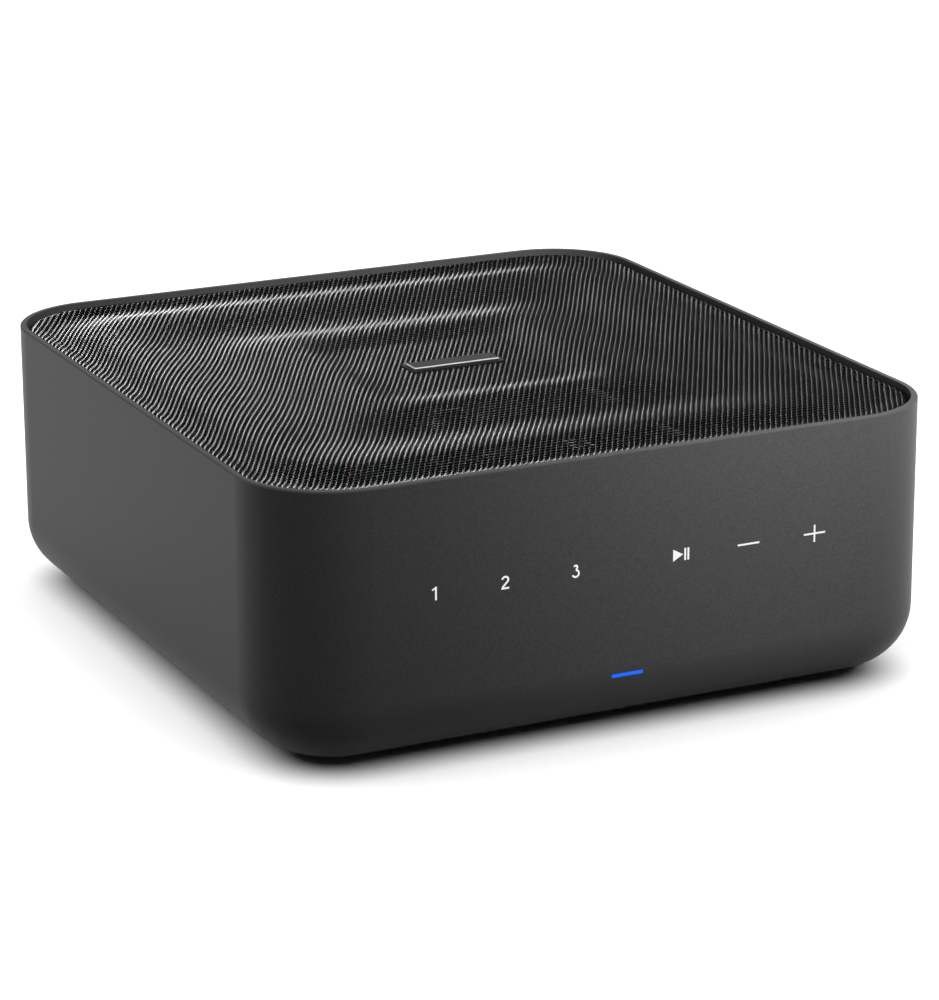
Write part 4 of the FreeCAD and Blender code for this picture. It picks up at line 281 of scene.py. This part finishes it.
FINISHES = {
    "shell_black": moulded(
        "shell_black",
        (0.03, 0.03, 0.0305),
        0.44,
        grain=0.4,
        depth=0.025,
        specular=0.07,
        variation=0.17,
    ),
    "base_black": moulded(
        "base_black", (0.014, 0.014, 0.014), 0.6, grain=0.4, depth=0.02, specular=0.3
    ),
    "foot_rubber": soft_rubber("foot_rubber", (0.016, 0.016, 0.016)),
    "screw_black": painted("screw_black", (0.012, 0.012, 0.012), 0.4, grain=0.1, depth=0.002),
    "screw_steel": bare_metal("screw_steel", (0.55, 0.55, 0.57), 0.3),
    "grille_black": painted(
        "grille_black", (0.0025, 0.0025, 0.0025), 0.18, grain=0.1, depth=0.0005, specular=0.022
    ),
    "inner_plastic": moulded("inner_plastic", (0.01, 0.01, 0.01), 0.65),
    "badge_dark": painted(
        "badge_dark", (0.008, 0.008, 0.0085), 0.35, grain=0.3, depth=0.001, specular=0.05
    ),
    "badge_edge": bare_metal("badge_edge", (0.6, 0.6, 0.62), 0.3),
    "mark_white": lit("mark_white", (0.86, 0.88, 0.9), strength=0.95, fade=0.12),
    "status_blue": lit("status_blue", (0.001, 0.13, 0.95), strength=0.97, fade=0.3),
    "board_green": circuit_board(
        "board_green", mask=(0.004, 0.012, 0.007), track=(0.008, 0.024, 0.013)
    ),
    "panel_black": painted("panel_black", (0.014, 0.014, 0.0145), 0.5, grain=0.25, depth=0.01),
    "terminal_black": moulded(
        "terminal_black", (0.012, 0.012, 0.012), 0.4, grain=0.2, depth=0.004
    ),
    "contact_gold": bare_metal("contact_gold", (0.75, 0.5, 0.19), 0.24),
    "insert_plastic": moulded("insert_plastic", (0.6, 0.6, 0.58), 0.45, grain=0.2, depth=0.004),
    "shutter_grey": moulded("shutter_grey", (0.03, 0.03, 0.03), 0.5, grain=0.2, depth=0.004),
    "port_steel": bare_metal(
        "port_steel", (0.34, 0.34, 0.345), 0.34, stretch=(1.0, 0.06, 1.0), cycles=6000.0
    ),
    "button_black": moulded("button_black", (0.03, 0.03, 0.031), 0.5, grain=0.2, depth=0.006),
    "insulation_clear": moulded(
        "insulation_clear", (0.3, 0.3, 0.27), 0.4, grain=0.5, depth=0.004
    ),
    "chip_black": moulded("chip_black", (0.012, 0.012, 0.012), 0.55, grain=0.2, depth=0.006),
    "pad_grey": soft_rubber("pad_grey", (0.3, 0.3, 0.32)),
    "sink_aluminium": bare_metal(
        "sink_aluminium", (0.09, 0.09, 0.095), 0.45, stretch=(1.0, 0.05, 1.0)
    ),
    "transformer_yellow": wound("transformer_yellow", (0.2, 0.16, 0.03), turns=400.0),
    "capacitor_black": moulded(
        "capacitor_black", (0.015, 0.015, 0.02), 0.3, grain=0.5, depth=0.002
    ),
    "copper_winding": wound("copper_winding", (0.35, 0.14, 0.05), turns=700.0),
    "connector_white": moulded("connector_white", (0.4, 0.4, 0.37), 0.45, grain=0.2, depth=0.004),
    "lead_black": soft_rubber("lead_black", (0.015, 0.015, 0.015), 0.5),
    "lead_red": soft_rubber("lead_red", (0.08, 0.006, 0.006), 0.5),
    "lead_grey": soft_rubber("lead_grey", (0.12, 0.12, 0.12), 0.5),
    "cap_red": moulded("cap_red", (0.42, 0.008, 0.01), 0.33, grain=0.3, depth=0.002),
    "cap_black": moulded("cap_black", (0.012, 0.012, 0.012), 0.33, grain=0.3, depth=0.002),
}

for part in frame["record"]["subparts"]:
    node = nodes[part["node"]]
    node.data.materials.clear()
    node.data.materials.append(FINISHES[part["material_slot"]])


# Perforated grille

# RIPPLES pairs a distance from the middle along X with the height there. BULGE_POWER sets how
# late the ripples turn from square to the longer shape of the outline.
RIPPLES = [
    (0.0, 0.0),
    (26.0, 0.0),
    (41.0, 1.75),
    (63.0, -0.8),
    (87.0, 1.75),
    (99.0, 0.1),
    (104.6, 1.2),
]
BULGE_POWER = 6
GRILLE_LOW, GRILLE_HIGH = box_of("top_grille")
GRILLE_HALF = [(high - low) / 2 for low, high in zip(GRILLE_LOW[:2], GRILLE_HIGH[:2])]
GRILLE_CENTRE_Y = (GRILLE_LOW[1] + GRILLE_HIGH[1]) / 2
GRILLE_LEVEL = GRILLE_HIGH[2] - max(height for _, height in RIPPLES)
GRILLE_CORNER = 25.75
EDGE_ROLL = 0.9
SKIRT = 3.4
FLAT_END = GRILLE_HALF[0] - EDGE_ROLL
TURNED_DOWN = EDGE_ROLL * math.pi / 2 + SKIRT
SHEET_THICKNESS = 0.6
HOLE_PITCH = 1.8
ROW_PITCH = HOLE_PITCH * math.sqrt(3) / 2
WEB_WIDTH = 0.45
WEB_CROWN = 0.14
MERGE_WITHIN = 0.02
SEAM = 0.05
HALVINGS = 40
TINY = 1e-9

# Whether each quarter lies to the right and at the back
QUARTERS = {
    "front_left": (False, False),
    "front_right": (True, False),
    "back_left": (False, True),
    "back_right": (True, True),
}


def ripple_height(u):
    """Height above the flat centre at a distance along X from the middle."""
    height = np.full_like(u, RIPPLES[-1][1])
    for (u0, h0), (u1, h1) in zip(RIPPLES, RIPPLES[1:]):
        inside = (u >= u0) & (u <= u1)
        share = (u[inside] - u0) / (u1 - u0)
        height[inside] = h0 + (h1 - h0) * (1 - np.cos(np.pi * share)) / 2
    return height


def contour_distance(x, y, u):
    """Distance outside the ripple contour of size u, and the way out of it."""
    share = u / GRILLE_HALF[0]
    corner = GRILLE_CORNER * share
    half_y = u + (GRILLE_HALF[1] - GRILLE_HALF[0]) * share**BULGE_POWER
    past_x = np.abs(x) - (u - corner)
    past_y = np.abs(y) - (half_y - corner)
    round_x, round_y = np.maximum(past_x, 0.0), np.maximum(past_y, 0.0)
    reach = np.hypot(round_x, round_y)
    distance = reach + np.minimum(np.maximum(past_x, past_y), 0.0) - corner
    reach = np.maximum(reach, TINY)
    return distance, np.sign(x) * round_x / reach, np.sign(y) * round_y / reach


def ripple_contour(x, y):
    """The size of the contour that each point lies on, by halving."""
    low, high = np.zeros_like(x), np.full_like(x, 2 * GRILLE_HALF[1])
    for _ in range(HALVINGS):
        middle = (low + high) / 2
        outside = contour_distance(x, y, middle)[0] > 0
        low, high = np.where(outside, middle, low), np.where(outside, high, middle)
    return (low + high) / 2


def formed(x, y, drop):
    """Where a point of the flat sheet comes to lie once it is pressed and its edge rolled down."""
    distance, out_x, out_y = contour_distance(x, y, np.full_like(x, FLAT_END))
    beyond = np.maximum(distance, 0.0)
    angle = np.minimum(beyond / EDGE_ROLL, math.pi / 2)
    straight = beyond - angle * EDGE_ROLL
    inward = (EDGE_ROLL - drop) * np.sin(angle) - beyond
    x_new, y_new = x + out_x * inward, y + out_y * inward
    height = GRILLE_LEVEL + ripple_height(np.minimum(ripple_contour(x, y), FLAT_END))
    z_new = height - drop * np.cos(angle) - EDGE_ROLL * (1 - np.cos(angle)) - straight
    return x_new, y_new, z_new


def pick_none():
    if bpy.context.object and bpy.context.object.mode == "EDIT":
        bpy.ops.object.mode_set(mode="OBJECT")
    bpy.ops.object.select_all(action="DESELECT")


def repeat(piece, count, step):
    """Copies a piece in a row and merges what meets."""
    row = piece.modifiers.new("row", "ARRAY")
    row.count = count
    row.use_relative_offset = False
    row.use_constant_offset = True
    row.constant_offset_displace = step
    row.use_merge_vertices = True
    row.merge_threshold = MERGE_WITHIN * MM
    bpy.ops.object.modifier_apply(modifier=row.name)


def hexagon_cell():
    """One hole with half of the web around it, its web crowned along its middle."""
    pick_none()
    corner = HOLE_PITCH / math.sqrt(3) * MM
    bpy.ops.mesh.primitive_circle_add(vertices=6, radius=corner, fill_type="NGON")
    cell = bpy.context.object
    bpy.ops.object.mode_set(mode="EDIT")
    bpy.ops.mesh.select_all(action="SELECT")
    bpy.ops.mesh.inset(thickness=WEB_WIDTH / 2 * MM, depth=-WEB_CROWN * MM)
    bpy.ops.mesh.delete(type="FACE")
    bpy.ops.object.mode_set(mode="OBJECT")
    return cell


def flat_honeycomb():
    """A flat honeycomb wider than the grille, with a cell at the grille's middle."""
    cell = hexagon_cell()
    next_row = (HOLE_PITCH / 2 * MM, ROW_PITCH * MM, 0.0)
    bpy.ops.object.mode_set(mode="EDIT")
    bpy.ops.mesh.select_all(action="SELECT")
    bpy.ops.mesh.duplicate_move(TRANSFORM_OT_translate={"value": next_row})
    bpy.ops.mesh.select_all(action="SELECT")
    bpy.ops.mesh.remove_doubles(threshold=MERGE_WITHIN * MM)
    bpy.ops.object.mode_set(mode="OBJECT")
    columns = math.ceil((GRILLE_HALF[0] + TURNED_DOWN) / HOLE_PITCH) + 1
    rows = math.ceil((GRILLE_HALF[1] + TURNED_DOWN) / (2 * ROW_PITCH)) + 1
    repeat(cell, 2 * columns, (HOLE_PITCH * MM, 0.0, 0.0))
    repeat(cell, 2 * rows, (0.0, 2 * ROW_PITCH * MM, 0.0))
    first_cell = (-columns * HOLE_PITCH * MM, -rows * 2 * ROW_PITCH * MM, 0.0)
    cell.data.transform(Matrix.Translation(first_cell))
    return cell


def read_triples(rows, field):
    """One vector of each row, as an array of three columns."""
    values = np.empty(len(rows) * 3)
    rows.foreach_get(field, values)
    return values.reshape(-1, 3)


def choose_faces(piece, chosen):
    """Which faces have their middle, in millimetres, where the choice falls."""
    middles = read_triples(piece.data.polygons, "center")
    return chosen(middles[:, 0] / MM, middles[:, 1] / MM)


def keep_faces(piece, chosen):
    """Deletes the faces outside the choice."""
    bpy.context.view_layer.objects.active = piece
    bpy.ops.object.mode_set(mode="EDIT")
    bpy.ops.mesh.select_mode(type="FACE")
    bpy.ops.mesh.select_all(action="DESELECT")
    bpy.ops.object.mode_set(mode="OBJECT")
    piece.data.polygons.foreach_set("select", ~choose_faces(piece, chosen))
    bpy.ops.object.mode_set(mode="EDIT")
    bpy.ops.mesh.delete(type="FACE")
    bpy.ops.object.mode_set(mode="OBJECT")


def press_sheet(piece):
    """Moves each point of a flat piece to its place on the ripples and the rolled edge."""
    flat = read_triples(piece.data.vertices, "co")
    pressed = formed(flat[:, 0] / MM, flat[:, 1] / MM, -flat[:, 2] / MM)
    placed = np.column_stack(pressed) * MM
    placed[:, 1] += GRILLE_CENTRE_Y * MM
    piece.data.vertices.foreach_set("co", placed.ravel())
    piece.data.update()


def within_outline(x, y):
    """Points that the turned-down edge still reaches."""
    return contour_distance(x, y, np.full_like(x, FLAT_END))[0] < TURNED_DOWN


def pressed_sheet():
    """The whole perforated sheet in one mesh, a honeycomb bent onto the ripples."""
    sheet = flat_honeycomb()
    keep_faces(sheet, within_outline)
    press_sheet(sheet)
    wall = sheet.modifiers.new("wall", "SOLIDIFY")
    wall.thickness = SHEET_THICKNESS * MM
    wall.offset = -1.0
    bpy.ops.object.modifier_apply(modifier=wall.name)
    bpy.ops.object.shade_smooth()
    sheet.data.materials.append(FINISHES["grille_black"])
    return sheet


def cut_quarter(sheet, name, right, back):
    """Copies one quarter of the sheet, with the whole sheet's normals so that no cut shows."""

    def chosen(x, y):
        return ((x > SEAM) == right) & ((y - GRILLE_CENTRE_Y > SEAM) == back)

    pick_none()
    piece = sheet.copy()
    piece.data = sheet.data.copy()
    piece.name = f"grille_sheet_{name}"
    bpy.context.collection.objects.link(piece)
    piece.select_set(True)
    normals = read_triples(sheet.data.vertices, "normal")
    face_corners = np.empty(len(sheet.data.loops), dtype=np.int32)
    sheet.data.loops.foreach_get("vertex_index", face_corners)
    quads = face_corners.reshape(-1, 4)
    kept = np.unique(quads[choose_faces(sheet, chosen)])
    keep_faces(piece, chosen)
    piece.data.normals_split_custom_set_from_vertices(normals[kept].tolist())
    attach(piece, "root")
    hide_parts("top_grille")
    return piece


def make_grille():
    """The pressed sheet in four quarters, each small enough for one piece."""
    sheet = pressed_sheet()
    quarters = [cut_quarter(sheet, name, *sides) for name, sides in QUARTERS.items()]
    bpy.data.objects.remove(sheet)
    return quarters


grille_quarters = make_grille()


# Bare dark badge with a bright cut edge, on a wider backing

BADGE_LOW, BADGE_HIGH = box_of("badge_plate")
BADGE_BORDER = 1.1
BADGE_CUT = 0.28
BACKING_THICKNESS = 0.4
FACE_THICKNESS = 0.7


def badge_piece(name, border, bottom, thickness, cut=0.0):
    """A plate so far inside the badge's outline, its edges cut bright if it has a cut."""
    pick_none()
    length, depth = [high - low - 2 * border for low, high in zip(BADGE_LOW[:2], BADGE_HIGH[:2])]
    middle = Vector((0.0, GRILLE_CENTRE_Y, bottom + thickness / 2)) * MM
    scale = Matrix.Diagonal((length * MM, depth * MM, thickness * MM, 1.0))
    bpy.ops.mesh.primitive_cube_add(size=1.0)
    piece = bpy.context.object
    piece.name = name
    piece.data.transform(Matrix.Translation(middle) @ scale)
    piece.data.materials.append(FINISHES["badge_dark"])
    if cut:
        piece.data.materials.append(FINISHES["badge_edge"])
        chamfer = piece.modifiers.new("cut", "BEVEL")
        chamfer.width = cut * MM
        chamfer.segments = 1
        chamfer.material = 1
        bpy.ops.object.modifier_apply(modifier=chamfer.name)
    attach(piece, "root")
    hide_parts("badge_plate")


def make_badge():
    face_bottom = BADGE_HIGH[2] - FACE_THICKNESS
    backing_bottom = face_bottom - BACKING_THICKNESS
    badge_piece("badge_backing", 0.0, backing_bottom, BACKING_THICKNESS)
    badge_piece("badge_face", BADGE_BORDER, face_bottom, FACE_THICKNESS, BADGE_CUT)


make_badge()


# Printing on the speaker terminal plate

LETTER_HEIGHT = 3.4
PLUS_HEIGHT = 5.0
MINUS_HEIGHT = 6.5
PRINT_THICKNESS = 0.02


def print_mark(name, text, x, z, face, height):
    """A printed mark read from behind, standing on a face at that Y; sizes are in millimetres."""
    pick_none()
    bpy.ops.object.text_add()
    piece = bpy.context.object
    piece.name = name
    piece.data.body = text
    piece.data.size = height * MM
    piece.data.extrude = PRINT_THICKNESS / 2 * MM
    piece.data.align_x, piece.data.align_y = "CENTER", "CENTER"
    bpy.ops.object.convert(target="MESH")
    middle = Vector((x, face + PRINT_THICKNESS / 2, z)) * MM
    stand = Matrix.Rotation(math.pi, 4, "Z") @ Matrix.Rotation(math.pi / 2, 4, "X")
    piece.data.transform(Matrix.Translation(middle) @ stand)
    piece.data.materials.append(FINISHES["connector_white"])
    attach(piece, "root")


def middle_of(name):
    """The middle of a node's box seen from behind, as X and Z in millimetres."""
    low, high = box_of(name)
    return (low[0] + high[0]) / 2, (low[2] + high[2]) / 2


def make_prints():
    plate_face = box_of("terminal_base")[1][1]
    plus_x, right_z = middle_of("post_cap_right_plus")
    minus_x, left_z = middle_of("post_cap_left_minus")
    between_x, between_z = (plus_x + minus_x) / 2, (right_z + left_z) / 2
    print_mark("print_right", "R", between_x, right_z, plate_face, LETTER_HEIGHT)
    print_mark("print_left", "L", between_x, left_z, plate_face, LETTER_HEIGHT)
    print_mark("print_plus", "+", plus_x, between_z, plate_face, PLUS_HEIGHT)
    print_mark("print_minus", "-", minus_x, between_z, plate_face, MINUS_HEIGHT)


make_prints()


# Stage with its floor, world and lamps

# Sizes are in metres, angles in degrees and powers in watts, a sky's for each square metre.
FLOOR_SIZE = 24.0
FLOOR_SEEN = (0.93, 0.93, 0.93)
FLOOR_BOUNCE = (0.05, 0.05, 0.05)
FLOOR_ROUGHNESS = 0.9
WORLD_FILL = 0.02
SKY_TARGET = (0.0, 0.0, 0.0)
SOFTBOX_TARGET = (0.0, 0.0, 0.05)
OVERHEAD_SKY = {"place": (0.02, 0.2, 3.0), "power": 3.9, "angle": 40}
FLOOR_SKY = {"place": (0.0, 0.0, 3.0), "power": 5.4, "angle": 114}
LEFT_SOFTBOX = {"place": (-1.5, 0.9, 0.28), "size": (0.8, 0.8), "power": 15.5}
RIGHT_SOFTBOX = {
    "place": (0.13, -0.38, 0.32),
    "size": (0.2, 0.2),
    "power": 1.05,
    "target": (0.1, -0.12, 0.18),
    "spread": 62,
}
BACK_SOFTBOX = {"place": (0.25, 1.7, 0.72), "size": (1.0, 0.52), "power": 118.0}


def seen_directly(tree):
    """One for rays from the camera, in reflections and through glass, else nothing."""
    path = tree.nodes.new("ShaderNodeLightPath")
    either = tree.nodes.new("ShaderNodeMath")
    either.operation = "MAXIMUM"
    any_of = tree.nodes.new("ShaderNodeMath")
    any_of.operation = "MAXIMUM"
    tree.links.new(path.outputs["Is Camera Ray"], either.inputs[0])
    tree.links.new(path.outputs["Is Glossy Ray"], either.inputs[1])
    tree.links.new(either.outputs["Value"], any_of.inputs[0])
    tree.links.new(path.outputs["Is Transmission Ray"], any_of.inputs[1])
    return any_of.outputs["Value"]


def make_floor():
    """A floor that looks white and throws little light back at the object."""
    pick_none()
    bpy.ops.mesh.primitive_plane_add(size=FLOOR_SIZE)
    floor = bpy.context.object
    floor.name = "studio_floor"
    finish, tree, shader = new_finish("studio_floor")
    mix = tree.nodes.new("ShaderNodeMix")
    mix.data_type = "RGBA"
    mix.inputs["A"].default_value = (*FLOOR_BOUNCE, 1.0)
    mix.inputs["B"].default_value = (*FLOOR_SEEN, 1.0)
    tree.links.new(seen_directly(tree), mix.inputs["Factor"])
    tree.links.new(mix.outputs["Result"], shader.inputs["Base Color"])
    set_shader(shader, Roughness=FLOOR_ROUGHNESS, Specular_IOR_Level=0.0)
    floor.data.materials.append(finish)
    return floor


def make_world():
    """A world that looks white and adds only a little light of its own."""
    world = bpy.data.worlds.new("studio")
    bpy.context.scene.world = world
    world.use_nodes = True
    tree = world.node_tree
    fill = tree.nodes["Background"]
    fill.inputs["Color"].default_value = (1.0, 1.0, 1.0, 1.0)
    fill.inputs["Strength"].default_value = WORLD_FILL
    white = tree.nodes.new("ShaderNodeBackground")
    white.inputs["Strength"].default_value = 1.0
    mix = tree.nodes.new("ShaderNodeMixShader")
    tree.links.new(seen_directly(tree), mix.inputs["Fac"])
    tree.links.new(fill.outputs["Background"], mix.inputs[1])
    tree.links.new(white.outputs["Background"], mix.inputs[2])
    tree.links.new(mix.outputs["Shader"], tree.nodes["World Output"].inputs["Surface"])


def aim(lamp, target):
    away = Vector(target) - lamp.location
    lamp.rotation_euler = away.to_track_quat("-Z", "Y").to_euler()


def softbox(name, place, size, power, target=SOFTBOX_TARGET, spread=180):
    """A square or oblong lamp that reflections show and the camera doesn't."""
    bpy.ops.object.light_add(type="AREA", location=place)
    lamp = bpy.context.object
    lamp.name = name
    lamp.data.shape = "RECTANGLE"
    lamp.data.size, lamp.data.size_y = size
    lamp.data.energy = power
    lamp.data.spread = math.radians(spread)
    lamp.visible_camera = False
    aim(lamp, target)
    return lamp


def sky_lamp(name, place, power, angle):
    """A wide sky of light above the object that no reflection shows."""
    bpy.ops.object.light_add(type="SUN", location=place)
    lamp = bpy.context.object
    lamp.name = name
    lamp.data.energy = power
    lamp.data.angle = math.radians(angle)
    lamp.visible_camera = False
    lamp.visible_glossy = False
    aim(lamp, SKY_TARGET)
    return lamp


def light_only(lamp, pieces):
    """Keeps a lamp's light to some pieces, as a snoot does in a studio."""
    lit_pieces = bpy.data.collections.new(f"{lamp.name}_lights")
    for piece in pieces:
        lit_pieces.objects.link(piece)
    lamp.light_linking.receiver_collection = lit_pieces


def keep_off(lamp, piece):
    """Keeps a lamp's light off one piece, as a flag does in a studio."""
    flagged = bpy.data.collections.new(f"{lamp.name}_flag")
    flagged.objects.link(piece)
    flagged.collection_objects[0].light_linking.link_state = "EXCLUDE"
    lamp.light_linking.receiver_collection = flagged


def make_lights(floor):
    """Lights the floor apart from the object, so that only the floor goes to plain white."""
    overhead = sky_lamp("overhead_sky", **OVERHEAD_SKY)
    floor_sky = sky_lamp("floor_sky", **FLOOR_SKY)
    left = softbox("left_softbox", **LEFT_SOFTBOX)
    right = softbox("right_softbox", **RIGHT_SOFTBOX)
    back = softbox("back_softbox", **BACK_SOFTBOX)
    for lamp in (overhead, left, right):
        keep_off(lamp, floor)
    light_only(floor_sky, [floor])
    light_only(back, grille_quarters)


studio_floor = make_floor()
make_world()
make_lights(studio_floor)
bpy.context.scene.view_settings.view_transform = "Standard"
